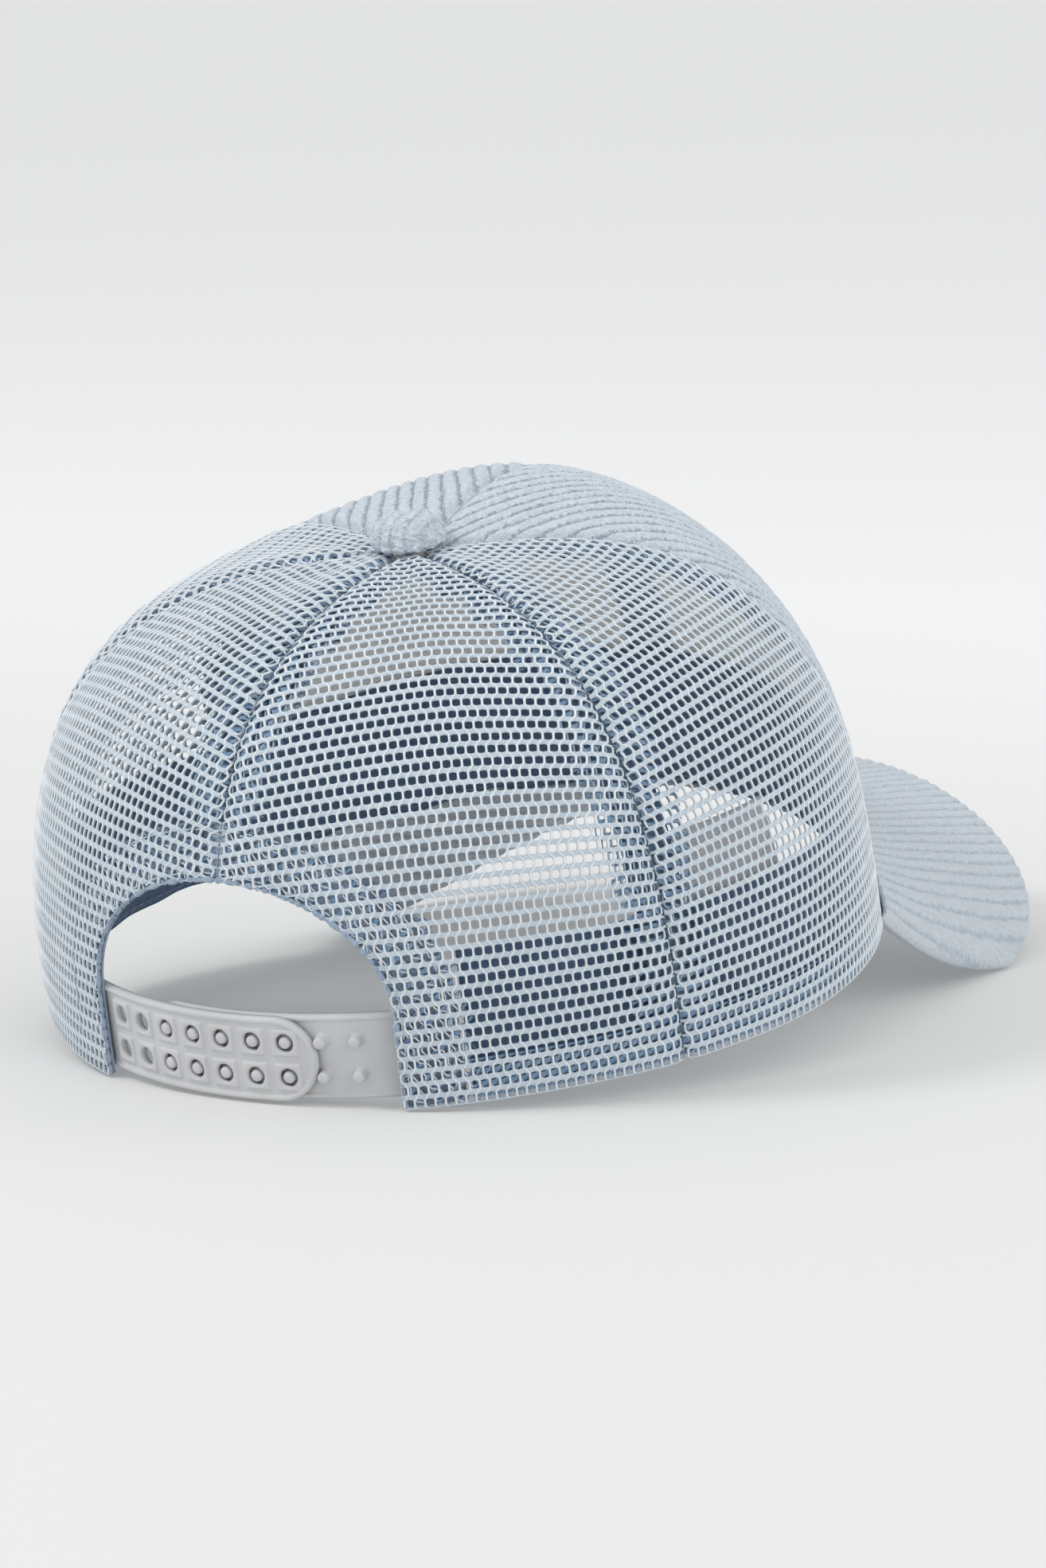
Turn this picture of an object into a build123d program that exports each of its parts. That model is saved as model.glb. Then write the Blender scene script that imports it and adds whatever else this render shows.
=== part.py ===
"""Six-panel trucker cap with a snap strap, standing on its back rim and its two brim corners."""

from build123d import *

import math
import os

# ---------------------------------------------------------------- crown (mm, degrees)
# The crown frame has its origin at the middle of the rim: +Z up the crown, -Y to the brim,
# +X to the wearer's left. Azimuth 0 is the front, 90 the wearer's left, 180 the back.
HALF_WIDTH = 94.0
HALF_LENGTH = 92.4
FRONT_REACH = 3.7  # how much longer the front half of the rim is than the mean
RIM_SQUEEZE = 0.032  # how far the rim draws in on its four diagonals
CROWN_HEIGHT = 93.4
APEX_SHIFT = -1.5  # the button stands this far in front of the middle
FRONT_PEAK = 0.085  # how much the stiff front panels bulge over the round profile
ROUNDNESS_FRONT = 3.3  # exponents of the crown's profile: larger is squarer
ROUNDNESS_SIDE = 2.9
ROUNDNESS_BACK = 2.84
RIM_LIFT = 8.0  # the rim rises over the brim
LIFT_HALF_ANGLE = 65.0

# ---------------------------------------------------------------- panels and what lines them
FRONT_SEAM = 63.0  # azimuth of the seams between the front and the side panels
BACK_SEAM = 117.4  # azimuth of the seams between the side and the back panels
APEX_HOLE_RADIUS = 4.0  # the panels stop here, under the button
SEAM_GAP = 0.3
PANEL_THICKNESS = 1.0
BACKING_INSET = 1.3  # insets are depths under the crown's outer surface
BACKING_THICKNESS = 0.6
BACKING_TOP_RADIUS = 10.0
BACKING_SEAM_GAP = 2.0
TAPE_WIDTH = 12.0
TAPE_THICKNESS = 0.6
TAPE_TOP_RADIUS = 15.0
MESH_TAPE_INSET = 1.3
FRONT_TAPE_INSET = 2.2
TAPE_FOOT = 1.0  # height of a tape's lower end over the rim
SWEATBAND_INSET = 3.2
SWEATBAND_THICKNESS = 1.6
SWEATBAND_HEIGHT = 31.0
SWEATBAND_END = 33.0  # degrees from the back
LABEL_INSET = 5.1
LABEL_THICKNESS = 0.4
CARE_LABEL = (-112, -94, 22, 44)  # two azimuths, and its lower and upper edges' heights over the rim's
SIZE_LABEL = (132, 141, 14, 28)

# ---------------------------------------------------------------- rear arch
ARCH_HALF_WIDTH = 37.2
ARCH_SPRING = 19.6  # height at which the straight sides turn into the arch
ARCH_RISE = 28.5
BINDING_WIDTH = 11.5
BINDING_INSET = 1.3
BINDING_THICKNESS = 0.6
BINDING_SPREAD = 38.0  # degrees from the back that hold the whole binding
BINDING_TOP = 66.0

# ---------------------------------------------------------------- brim
BRIM_HALF_WIDTH = 81.0
BRIM_CORNER_REACH = 93.0  # from the middle of the rim forward to the brim's corners
BRIM_ROUND = 67.0  # from the corners forward to the middle of the front edge
BRIM_FRONT_DROP = 9.0  # the front edge lies this far under the rim plane at the middle
BRIM_CORNER_DROP = 20.8  # and its corners lie this much lower
BRIM_DROOP = 0.5  # how much sooner the sides drop than the straight line to the corner
BRIM_SEAM_RISE = 0.5
BRIM_CROWN_GAP = 1.0
COVER_THICKNESS = 2.1  # each cover's edge lip reaches the board's mid plane
BOARD_THICKNESS = 2.0
BOARD_SHARE = 0.97  # of the brim's width and length
POCKET_CLEARANCE = 0.1
POCKET_SHARE = 0.975

# ---------------------------------------------------------------- button
BUTTON_LIFT = 1.7
BUTTON_RADIUS = 8.6
BUTTON_HEIGHT = 6.6
BUTTON_CLOTH = 1.2
SHELL_THICKNESS = 0.8
BUTTON_PLAY = 0.05
RIVET_RADIUS = 1.6
RIVET_HEAD_RADIUS = 3.0
RIVET_HEAD = 0.8
BACKPLATE_RADIUS = 7.0
BACKPLATE_THICKNESS = 0.8
BACKPLATE_INSET = 3.2

# ---------------------------------------------------------------- snap strap
STRAP_BOTTOM = 1.5
STRAP_HEIGHT = 18.5
STRAP_THICKNESS = 1.2
STRAP_CENTRE_Y = 4.4  # the back of the rim is close to an arc round this point
OUTER_STRAP_RADIUS = 81.6  # outer face of the strap with the holes
INNER_STRAP_RADIUS = 79.6  # outer face of the strap with the pegs
RAISED = 0.45  # height of the edge beads and of the pads round the holes
BEAD_WIDTH = 1.3
PITCH = 7.6  # between holes, both ways
HOLE_COLUMNS = 7
FIRST_HOLE = 6.2  # from the side of the arch to the first column of holes
HOLE_RADIUS = 2.0
PAD_WIDTH = 5.8
STRAP_TIP = 6.8  # from the last column to the end of either strap
PEG_COLUMNS = range(2, 9)  # the columns of pegs, counted as the holes are
PEG_RADIUS = 1.2
PEG_TIP_RADIUS = 0.9
PEG_LENGTH = 2.1
HINGE_INSET = 3.4  # from the side of the arch to the line where a strap bends
TAB_SHOWN = 0.4  # a sewn tab shows this far past the side of the arch
TAB_COVERED = 10.0  # and is covered this far by the mesh

# ---------------------------------------------------------------- stance
TILT = 9.82  # the rim leans back this far, because the brim's corners prop up the front

GRID_ROWS = 15
GRID_COLUMNS = 9
WIDE_COLUMNS = 41
FAR = 300.0  # longer than anything that it cuts
MEASURING_TOLERANCE = 0.05
ANGLE_STEP = 0.2  # steps in which a surface's slope is taken
SHARE_STEP = 0.004


# ---------------------------------------------------------------- the crown's surface
def crown_surface(azimuth, elevation):
    """Point of the crown's outer surface, from the rim (elevation 0) to the button (90)."""
    forward = math.cos(math.radians(azimuth))
    sideways = math.sin(math.radians(azimuth))
    lean = (ROUNDNESS_FRONT - ROUNDNESS_BACK) / 2
    middle = (ROUNDNESS_FRONT + ROUNDNESS_BACK) / 2
    power = ROUNDNESS_SIDE + lean * forward + (middle - ROUNDNESS_SIDE) * forward**2
    rise = math.sin(math.radians(elevation))
    spread = math.cos(math.radians(elevation))
    scale = (abs(rise) ** power + abs(spread) ** power) ** (-1 / power)
    reach = spread * scale
    squeeze = 1 - RIM_SQUEEZE * math.sin(math.radians(2 * azimuth)) ** 2
    bulge = max(4 * reach * (1 - reach), 0) ** 1.5
    peak = 1 + FRONT_PEAK * max(forward, 0) ** 2 * bulge
    x = HALF_WIDTH * sideways * squeeze * reach
    y = APEX_SHIFT * (1 - reach) - (HALF_LENGTH + FRONT_REACH * forward) * forward * squeeze * reach
    return Vector(x, y, CROWN_HEIGHT * rise * scale * peak)


def surface_normal(surface, first, second, step):
    """Unit normal of a surface of two parameters."""
    along = surface(first + step, second) - surface(first - step, second)
    across = surface(first, second + step) - surface(first, second - step)
    return along.cross(across).normalized()


def crown_point(azimuth, elevation, inset):
    """Point at a depth under the crown's outer surface."""
    normal = surface_normal(crown_surface, azimuth, elevation, ANGLE_STEP)
    return crown_surface(azimuth, elevation) - normal * inset


def apex_distance(azimuth, elevation):
    """Distance of a point of the crown from the button's axis."""
    point = crown_surface(azimuth, elevation)
    return math.hypot(point.X, point.Y - APEX_SHIFT)


def rim_lift(azimuth):
    """Height of the crown's lower edge: it arches over the brim."""
    share = min(abs(azimuth) / LIFT_HALF_ANGLE, 1)
    return RIM_LIFT * (1 - share**2)


def elevation_at(height):
    """Elevation of a low point of the crown that is this high over the rim."""
    return math.degrees(math.asin(height / CROWN_HEIGHT))


def elevation_near_apex(radius):
    """Elevation at which a meridian comes this near the button's axis."""
    return 90 - math.degrees(radius / HALF_WIDTH)


# ---------------------------------------------------------------- thin curved solids
def shell_solid(outer_rows, inner_rows):
    """Closed solid between two matching grids of points."""
    outer, inner = [
        Face.make_surface_from_array_of_points(rows, tol=0.02, min_deg=3, max_deg=5)
        for rows in (outer_rows, inner_rows)
    ]
    sides = []
    for edge in outer.edges():
        partner = min(inner.edges(), key=lambda other: abs(other @ 0.5 - edge @ 0.5))
        sides.append(Face.make_surface_from_curves(edge, partner))
    return Solid(Shell([outer, inner, *sides]))


def crown_sheet(start, end, low, high, inset, thickness, margin=0.0, columns=GRID_COLUMNS):
    """Sheet under the crown's surface between two azimuths.

    low and high are heights over the rim's edge, or an elevation's function of the azimuth.
    margin narrows the sheet on both sides, and a negative margin widens it.
    """

    def point(row, column, depth):
        side = column / (columns - 1)
        azimuth = start + (end - start) * side
        bottom = elevation_at(rim_lift(azimuth) + low)
        elevation = bottom + (high(azimuth) - bottom) * row / (GRID_ROWS - 1)
        turn = math.degrees(margin / apex_distance(azimuth, elevation))
        return crown_point(azimuth + turn * (1 - 2 * side), elevation, depth)

    outer, inner = [
        [[point(row, column, depth) for column in range(columns)] for row in range(GRID_ROWS)]
        for depth in (inset, inset + thickness)
    ]
    return shell_solid(outer, inner)


def up_to_radius(radius):
    return lambda azimuth: elevation_near_apex(radius)


def up_to_height(height):
    return lambda azimuth: elevation_at(rim_lift(azimuth) + height)


def panel(start, end):
    top = up_to_radius(APEX_HOLE_RADIUS)
    return crown_sheet(start, end, 0, top, 0, PANEL_THICKNESS, SEAM_GAP / 2)


def backing(start, end):
    top = up_to_radius(BACKING_TOP_RADIUS)
    return crown_sheet(start, end, TAPE_FOOT, top, BACKING_INSET, BACKING_THICKNESS, BACKING_SEAM_GAP)


def seam_tape(azimuth, inset):
    top = up_to_radius(TAPE_TOP_RADIUS)
    return crown_sheet(azimuth, azimuth, TAPE_FOOT, top, inset, TAPE_THICKNESS, -TAPE_WIDTH / 2)


def label(start, end, low, high):
    return crown_sheet(start, end, low, up_to_height(high), LABEL_INSET, LABEL_THICKNESS)


def sweatband():
    start = SWEATBAND_END - 180
    top = up_to_height(SWEATBAND_HEIGHT)
    return crown_sheet(
        start, -start, TAPE_FOOT, top, SWEATBAND_INSET, SWEATBAND_THICKNESS, columns=WIDE_COLUMNS
    )


# ---------------------------------------------------------------- rear arch
def arch_block(growth):
    """Block through the back of the crown with the arch's outline, grown on its sides and top."""
    half = ARCH_HALF_WIDTH + growth
    rise = ARCH_RISE + growth
    foot = Polyline((half, ARCH_SPRING), (half, -FAR), (-half, -FAR), (-half, ARCH_SPRING))
    top = EllipticalCenterArc((0, ARCH_SPRING), half, rise, start_angle=0, arc_size=180)
    outline = make_face([foot, top])
    return extrude(Plane.XZ * outline, amount=-FAR)


def back_panel(start, end):
    return panel(start, end) - arch_block(0)


def arch_binding():
    start = 180 - BINDING_SPREAD
    end = 180 + BINDING_SPREAD
    top = up_to_height(BINDING_TOP)
    band = crown_sheet(start, end, TAPE_FOOT, top, BINDING_INSET, BINDING_THICKNESS, columns=WIDE_COLUMNS)
    return (band & arch_block(BINDING_WIDTH)) - arch_block(0)


# ---------------------------------------------------------------- brim
def brim_surface(side, reach):
    """Point of the brim's mid surface: side runs from -1 to 1, reach from the crown (0) to the edge (1)."""
    azimuth = LIFT_HALF_ANGLE * side
    lift = rim_lift(azimuth)
    wall = crown_point(azimuth, elevation_at(lift), -BRIM_CROWN_GAP)
    seam = Vector(wall.X, wall.Y, lift + BRIM_SEAM_RISE)
    turn = math.radians(90 * side)
    edge = Vector(
        BRIM_HALF_WIDTH * math.sin(turn),
        -BRIM_CORNER_REACH - BRIM_ROUND * math.cos(turn),
        -BRIM_FRONT_DROP - BRIM_CORNER_DROP * math.sin(turn) ** 2,
    )
    point = seam + (edge - seam) * reach
    droop = BRIM_DROOP * side**4 * reach * (1 - reach)
    return point + Vector(0, 0, (edge.Z - seam.Z) * droop)


def brim_slab(low, high, share, start=0.0):
    """Slab between two heights over the brim's mid surface, over a share of its width and length."""

    def point(row, column, height):
        side = share * (2 * column / (WIDE_COLUMNS - 1) - 1)
        reach = start + (share - start) * row / (GRID_COLUMNS - 1)
        # side runs to the wearer's left and reach forward, so their normal points down
        normal = -surface_normal(brim_surface, side * (1 - SHARE_STEP), reach, SHARE_STEP)
        return brim_surface(side, reach) + normal * height

    upper, lower = [
        [[point(row, column, height) for column in range(WIDE_COLUMNS)] for row in range(GRID_COLUMNS)]
        for height in (high, low)
    ]
    return shell_solid(upper, lower)


def brim_parts():
    """The stiff board and the cloth covers over and under it, whose lips close round its edge."""
    half_board = BOARD_THICKNESS / 2
    start = 1 - BOARD_SHARE
    half_pocket = half_board + POCKET_CLEARANCE
    pocket = brim_slab(-half_pocket, half_pocket, POCKET_SHARE, 1 - POCKET_SHARE)
    return {
        "brim_board": brim_slab(-half_board, half_board, BOARD_SHARE, start),
        "brim_top_cloth": brim_slab(0, COVER_THICKNESS, 1.0) - pocket,
        "brim_under_cloth": brim_slab(-COVER_THICKNESS, 0, 1.0) - pocket,
    }


# ---------------------------------------------------------------- button
def half_ball(radius, height):
    ball = scale(Sphere(1), (radius, radius, height))
    return split(ball, bisect_by=Plane.XY, keep=Keep.TOP)


def dome_shell(radius, height, thickness, base):
    """Half of a hollow, flattened ball that stands on the button's axis."""
    room = half_ball(radius - thickness, height - thickness)
    return Pos(0, APEX_SHIFT, base) * (half_ball(radius, height) - room)


def disc(radius, bottom, top):
    column = Cylinder(radius, top - bottom, align=(Align.CENTER, Align.CENTER, Align.MIN))
    return Pos(0, APEX_SHIFT, bottom) * column


def button_parts():
    """Cloth-covered button, its metal shell, and the rivet and plate that hold it."""
    base = CROWN_HEIGHT + BUTTON_LIFT
    shell_radius = BUTTON_RADIUS - BUTTON_CLOTH - BUTTON_PLAY
    shell_height = BUTTON_HEIGHT - BUTTON_CLOTH - BUTTON_PLAY
    plate_top = CROWN_HEIGHT - BACKPLATE_INSET
    plate_bottom = plate_top - BACKPLATE_THICKNESS
    rivet_top = base + shell_height - SHELL_THICKNESS - RIVET_HEAD
    foot = disc(RIVET_HEAD_RADIUS, plate_bottom - RIVET_HEAD, plate_bottom - BUTTON_PLAY)
    shank = disc(RIVET_RADIUS, plate_bottom - RIVET_HEAD, rivet_top)
    head = disc(RIVET_HEAD_RADIUS, rivet_top - RIVET_HEAD, rivet_top)
    return {
        "button_cloth": dome_shell(BUTTON_RADIUS, BUTTON_HEIGHT, BUTTON_CLOTH, base),
        "button_shell": dome_shell(shell_radius, shell_height, SHELL_THICKNESS, base),
        "button_rivet": shank + head + foot,
        "button_backplate": disc(BACKPLATE_RADIUS, plate_bottom, plate_top)
        - disc(RIVET_RADIUS + BUTTON_PLAY, plate_bottom, plate_top),
    }


# ---------------------------------------------------------------- snap strap
def strap_point(radius, angle):
    """Point on an arc round the back. The angle is 0 at the back and grows to the wearer's left."""
    turn = math.radians(angle)
    return (radius * math.sin(turn), STRAP_CENTRE_Y + radius * math.cos(turn))


def strap_angle(distance):
    """Angle of a place this far along the strap from the arch's side at the wearer's left."""
    edge = math.degrees(math.asin(ARCH_HALF_WIDTH / OUTER_STRAP_RADIUS))
    return edge - math.degrees(distance / OUTER_STRAP_RADIUS)


def strap_band(inner_radius, outer_radius, start, end, margin):
    """Curved strip between two angles, narrowed by a margin at its top and bottom."""
    middle = (start + end) / 2
    corners = [(outer_radius, start, middle, end), (inner_radius, end, middle, start)]
    arcs = [ThreePointArc(*[strap_point(radius, angle) for angle in angles]) for radius, *angles in corners]
    ends = [Line(arcs[0] @ 1, arcs[1] @ 0), Line(arcs[1] @ 1, arcs[0] @ 0)]
    outline = make_face([arcs[0], ends[0], arcs[1], ends[1]])
    return Pos(0, 0, STRAP_BOTTOM + margin) * extrude(outline, amount=STRAP_HEIGHT - 2 * margin)


def radial_plane(radius, angle, height):
    """Plane that faces outward from an arc round the back."""
    turn = math.radians(angle)
    across = (math.cos(turn), -math.sin(turn), 0)
    outward = (math.sin(turn), math.cos(turn), 0)
    return Plane((*strap_point(radius, angle), height), x_dir=across, z_dir=outward)


def tongue(inner_radius, outer_radius, root, tip, margin=0.0):
    """Strip that is cut square at its root and round at its tip."""
    radius = STRAP_HEIGHT / 2
    back = math.copysign(math.degrees(radius / OUTER_STRAP_RADIUS), root - tip)
    centre = tip + back
    straight = strap_band(inner_radius, outer_radius, root, centre, margin)
    rest = strap_band(inner_radius, outer_radius, centre, tip, margin)
    round_end = radial_plane(outer_radius, centre, STRAP_BOTTOM + radius) * Cylinder(radius - margin, radius)
    return straight + (rest & round_end)


def beaded_strap(outer_radius, root, tip):
    """Strap with a raised bead along its edges, and a round root that turns in the bending line."""
    inner_radius = outer_radius - STRAP_THICKNESS
    top = outer_radius + RAISED
    plate = tongue(inner_radius, outer_radius, root, tip)
    bead = tongue(outer_radius, top, root, tip) - tongue(outer_radius, top, root, tip, BEAD_WIDTH)
    mid_radius = (inner_radius + outer_radius) / 2
    knuckle = Cylinder(STRAP_THICKNESS / 2, STRAP_HEIGHT, align=(Align.CENTER, Align.CENTER, Align.MIN))
    return plate + bead + Pos(*strap_point(mid_radius, root), STRAP_BOTTOM) * knuckle


def snap_places(columns):
    """Angle and height of every snap in these columns."""
    middle = STRAP_BOTTOM + STRAP_HEIGHT / 2
    heights = (middle - PITCH / 2, middle + PITCH / 2)
    return [(strap_angle(FIRST_HOLE + column * PITCH), height) for column in columns for height in heights]


def strap_ends():
    """Angles of the two bending lines, at the wearer's left and right."""
    left = strap_angle(HINGE_INSET)
    return left, -left


def hole_strap():
    left, _ = strap_ends()
    tip = strap_angle(FIRST_HOLE + (HOLE_COLUMNS - 1) * PITCH + STRAP_TIP)
    strap = beaded_strap(OUTER_STRAP_RADIUS, left, tip)
    places = snap_places(range(HOLE_COLUMNS))
    for angle, height in places:
        under_its_face = (Align.CENTER, Align.CENTER, Align.MAX)
        pad = Box(PAD_WIDTH, PAD_WIDTH, STRAP_THICKNESS + RAISED, align=under_its_face)
        strap += radial_plane(OUTER_STRAP_RADIUS + RAISED, angle, height) * pad
    for angle, height in places:
        strap -= radial_plane(OUTER_STRAP_RADIUS, angle, height) * Cylinder(HOLE_RADIUS, PAD_WIDTH)
    return strap


def peg_strap():
    _, right = strap_ends()
    tip = strap_angle(FIRST_HOLE + PEG_COLUMNS[0] * PITCH - STRAP_TIP)
    strap = beaded_strap(INNER_STRAP_RADIUS, right, tip)
    for angle, height in snap_places(PEG_COLUMNS):
        from_its_base = (Align.CENTER, Align.CENTER, Align.MIN)
        peg = Cone(PEG_RADIUS, PEG_TIP_RADIUS, PEG_LENGTH + RAISED, align=from_its_base)
        strap += radial_plane(INNER_STRAP_RADIUS - RAISED, angle, height) * peg
    return strap


def strap_tab(outer_radius, sign):
    """Sewn end of a strap: sign is 1 at the wearer's left and -1 at the right."""
    shown = sign * strap_angle(TAB_SHOWN)
    covered = sign * strap_angle(-TAB_COVERED)
    return strap_band(outer_radius - STRAP_THICKNESS, outer_radius, covered, shown, 0)


# ---------------------------------------------------------------- assembly
def crown_parts():
    parts = {}
    for side, sign in (("left", 1), ("right", -1)):
        front = sign * FRONT_SEAM
        rear = sign * BACK_SEAM
        parts[f"front_panel_{side}"] = panel(*sorted((0, front)))
        parts[f"side_mesh_{side}"] = panel(*sorted((front, rear)))
        parts[f"back_mesh_{side}"] = back_panel(*sorted((rear, sign * 180)))
        parts[f"front_backing_{side}"] = backing(*sorted((0, front)))
        parts[f"front_seam_tape_{side}"] = seam_tape(front, FRONT_TAPE_INSET)
        parts[f"side_seam_tape_{side}"] = seam_tape(rear, MESH_TAPE_INSET)
    parts["centre_front_tape"] = seam_tape(0, FRONT_TAPE_INSET)
    parts["centre_back_tape"] = seam_tape(180, MESH_TAPE_INSET) - arch_block(BINDING_WIDTH + SEAM_GAP)
    parts["arch_binding"] = arch_binding()
    parts["sweatband"] = sweatband()
    parts["care_label"] = label(*CARE_LABEL)
    parts["size_label"] = label(*SIZE_LABEL)
    return parts


def strap_parts():
    return {
        "hole_strap": hole_strap(),
        "hole_strap_tab": strap_tab(OUTER_STRAP_RADIUS, 1),
        "peg_strap": peg_strap(),
        "peg_strap_tab": strap_tab(INNER_STRAP_RADIUS, -1),
    }


def stand(parts):
    """Tilts the cap onto its brim corners, with the origin at the bottom centre of the whole."""
    tilted = {name: Rot(X=-TILT) * solid for name, solid in parts.items()}
    corners = [corner for solid in tilted.values() for corner in solid.tessellate(MEASURING_TOLERANCE)[0]]
    low, high = [Vector(*[pick(axis) for axis in zip(*map(tuple, corners))]) for pick in (min, max)]
    middle = (low + high) / 2
    shift = Vector(-middle.X, -middle.Y, -low.Z)
    print("rim centre", shift, "size", high - low)
    return {name: Pos(shift) * solid for name, solid in tilted.items()}


def main():
    os.makedirs("parts", exist_ok=True)
    cap = crown_parts() | brim_parts() | button_parts() | strap_parts()
    for name, solid in stand(cap).items():
        export_step(solid, f"parts/{name}.step")


main()
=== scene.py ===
"""Trucker cap: corduroy front and brim, knitted mesh sides and back, plastic snap strap."""

import copy
import math

import bpy
import numpy as np
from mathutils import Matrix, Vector


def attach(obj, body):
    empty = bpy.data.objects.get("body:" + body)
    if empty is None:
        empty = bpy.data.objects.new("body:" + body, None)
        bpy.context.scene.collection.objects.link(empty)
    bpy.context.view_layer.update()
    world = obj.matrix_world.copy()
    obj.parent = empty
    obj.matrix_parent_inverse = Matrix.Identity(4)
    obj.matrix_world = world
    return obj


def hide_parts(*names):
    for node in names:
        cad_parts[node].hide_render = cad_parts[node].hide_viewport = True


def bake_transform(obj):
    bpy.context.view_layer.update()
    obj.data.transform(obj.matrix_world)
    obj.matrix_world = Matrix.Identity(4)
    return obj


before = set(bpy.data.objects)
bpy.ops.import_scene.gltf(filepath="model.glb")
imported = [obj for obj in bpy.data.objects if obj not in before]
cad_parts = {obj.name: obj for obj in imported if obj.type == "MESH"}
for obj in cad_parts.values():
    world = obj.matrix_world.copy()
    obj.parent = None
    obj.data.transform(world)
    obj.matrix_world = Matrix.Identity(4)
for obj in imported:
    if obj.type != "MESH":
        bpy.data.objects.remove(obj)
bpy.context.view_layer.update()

MM = 0.001

# ---------------------------------------------------------------- crown, as the CAD has it
HALF_WIDTH = 94.0 * MM
HALF_LENGTH = 92.4 * MM
FRONT_REACH = 3.7 * MM
RIM_SQUEEZE = 0.032
CROWN_HEIGHT = 93.4 * MM
APEX_SHIFT = -1.5 * MM
FRONT_PEAK = 0.085
ROUNDNESS_FRONT = 3.3
ROUNDNESS_SIDE = 2.9
ROUNDNESS_BACK = 2.84
RIM_LIFT = 8.0 * MM
LIFT_HALF_ANGLE = math.radians(65.0)
FRONT_SEAM = math.radians(63.0)
BACK_SEAM = math.radians(117.4)
TILT = math.radians(9.82)
RIM_CENTRE = (0.0, 34.40 * MM, 13.87 * MM)

ARCH_HALF_WIDTH = 37.2 * MM
ARCH_SPRING = 19.6 * MM
ARCH_RISE = 28.5 * MM
BINDING_WIDTH = 11.5 * MM

BRIM_HALF_WIDTH = 81.0 * MM
BRIM_CORNER_REACH = 93.0 * MM
BRIM_ROUND = 67.0 * MM
BRIM_FRONT_DROP = 9.0 * MM
BRIM_CORNER_DROP = 20.8 * MM
BRIM_DROOP = 0.5
BRIM_SEAM_RISE = 0.5 * MM
BRIM_CROWN_GAP = 1.0 * MM  # in the CAD; the cloth covers run on into the crown's seam
BRIM_TUCK = 2.3 * MM  # how far they go in under its surface

BUTTON_RADIUS = 8.6 * MM
BUTTON_HEIGHT = 6.6 * MM
BUTTON_LIFT = 1.7 * MM

STRAP_BOTTOM = 1.5 * MM
STRAP_HEIGHT = 18.5 * MM
STRAP_THICKNESS = 1.2 * MM
STRAP_CENTRE_Y = 4.4 * MM
OUTER_STRAP_RADIUS = 81.6 * MM
INNER_STRAP_RADIUS = 79.6 * MM
RAISED = 0.45 * MM
PITCH = 7.6 * MM
FIRST_HOLE = 6.2 * MM
HOLE_COLUMNS = 7
PEG_COLUMNS = range(2, 9)
STRAP_TIP = 6.8 * MM
TAB_COVERED = 10.0 * MM

# ---------------------------------------------------------------- camera, as in the photograph
CAMERA_PLACE = (-0.7159, 1.1223, 0.2813)
CAMERA_TURN = (80.01, 1.67, -147.60)
CAMERA_LENS = 140.35
FLOOR_TURN = (-0.06, -0.60)  # along Y, where the floor turns lighter
FLOOR_NEAR = (0.64, 0.64, 0.63)
FLOOR_FAR = (0.78, 0.78, 0.775)
SKY = (0.975, 0.985, 1.0)
SKY_STRENGTH = 0.79
LIGHTS = [  # name, place, what it points at, width and power
    ("key", (0.85, 0.75, 1.25), (0, 0.03, 0.05), 0.5, 7.8),
    ("fill", (-1.3, 0.5, 0.8), (0, 0.0, 0.02), 1.2, 3.5),
    ("low_fill", (-1.1, -0.7, 0.35), (-0.1, 0.0, 0.0), 0.9, 2.2),
]

# ---------------------------------------------------------------- cloth
SEAM_ALLOWANCE = 9.5 * MM
RIM_HEM = 10.0 * MM
ROW_PITCH = 2.8 * MM  # of the mesh's rows of holes
HOLE_PITCH = 2.1 * MM  # along a row
WALE_PITCH = 3.3 * MM  # of the corduroy
WALE_HEIGHT = 0.75 * MM
PILE_BASE = 1.0 * MM  # depth of the grooves between the wales under the crown's surface
TAPE_WIDTH = 12.0 * MM
SWEATBAND_HEIGHT = 31.0 * MM
SWEATBAND_END = math.radians(147.0)
BOARD_HALF = 1.02 * MM
COVER_FACE = 2.1 * MM
HOLE_RADIUS = 2.0 * MM
PAD_WIDTH = 5.8 * MM
STRAP_CELL = 0.22 * MM
UNDER_DEPTH = 0.65 * MM  # of the layer of mesh that is turned under
HEM_DEPTH = 0.6 * MM
HEM_SPIN = 0.65  # radians that the rows of the arch's hem are turned by
SEAM_END = 15.0 * MM  # how far from the apex the tapes stop

# ---------------------------------------------------------------- mesh, round one of its holes
RING_BOUNDARY = [(-1, -1), (0, -1), (1, -1), (1, 0), (1, 1), (0, 1), (-1, 1), (-1, 0)]
HOLE_CORNER = (0.72 * MM, 0.75 * MM)  # from the hole's middle to its corners
HOLE_SIDE = (0.86 * MM, 0.92 * MM)  # and to the middles of its sides
LIP = 0.13 * MM  # width of the rounded edge
CLOTH = 0.36 * MM  # thickness
THREAD_ENDS = (0.62 * MM, 2.18 * MM)  # up from a row's own line, where its threads climb straight
THREAD_SECTION = np.array([(-0.24, 0.0), (0.0, 0.22), (0.24, 0.0), (0.0, -0.16)]) * MM

# ---------------------------------------------------------------- depths and grids of the pieces
BACKING_DEPTH = 1.45 * MM
FRONT_TAPE_DEPTH = 2.3 * MM
SIDE_TAPE_DEPTH = 2.1 * MM
LINING_THICKNESS = 0.45 * MM
BINDING_FACES = (1.45 * MM, 1.9 * MM)
FRONT_GRID = (190, 250)
BRIM_GRID = (124, 380)
SWEATBAND_GRID = (34, 640)
LABEL_GRID = (30, 30)


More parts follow.
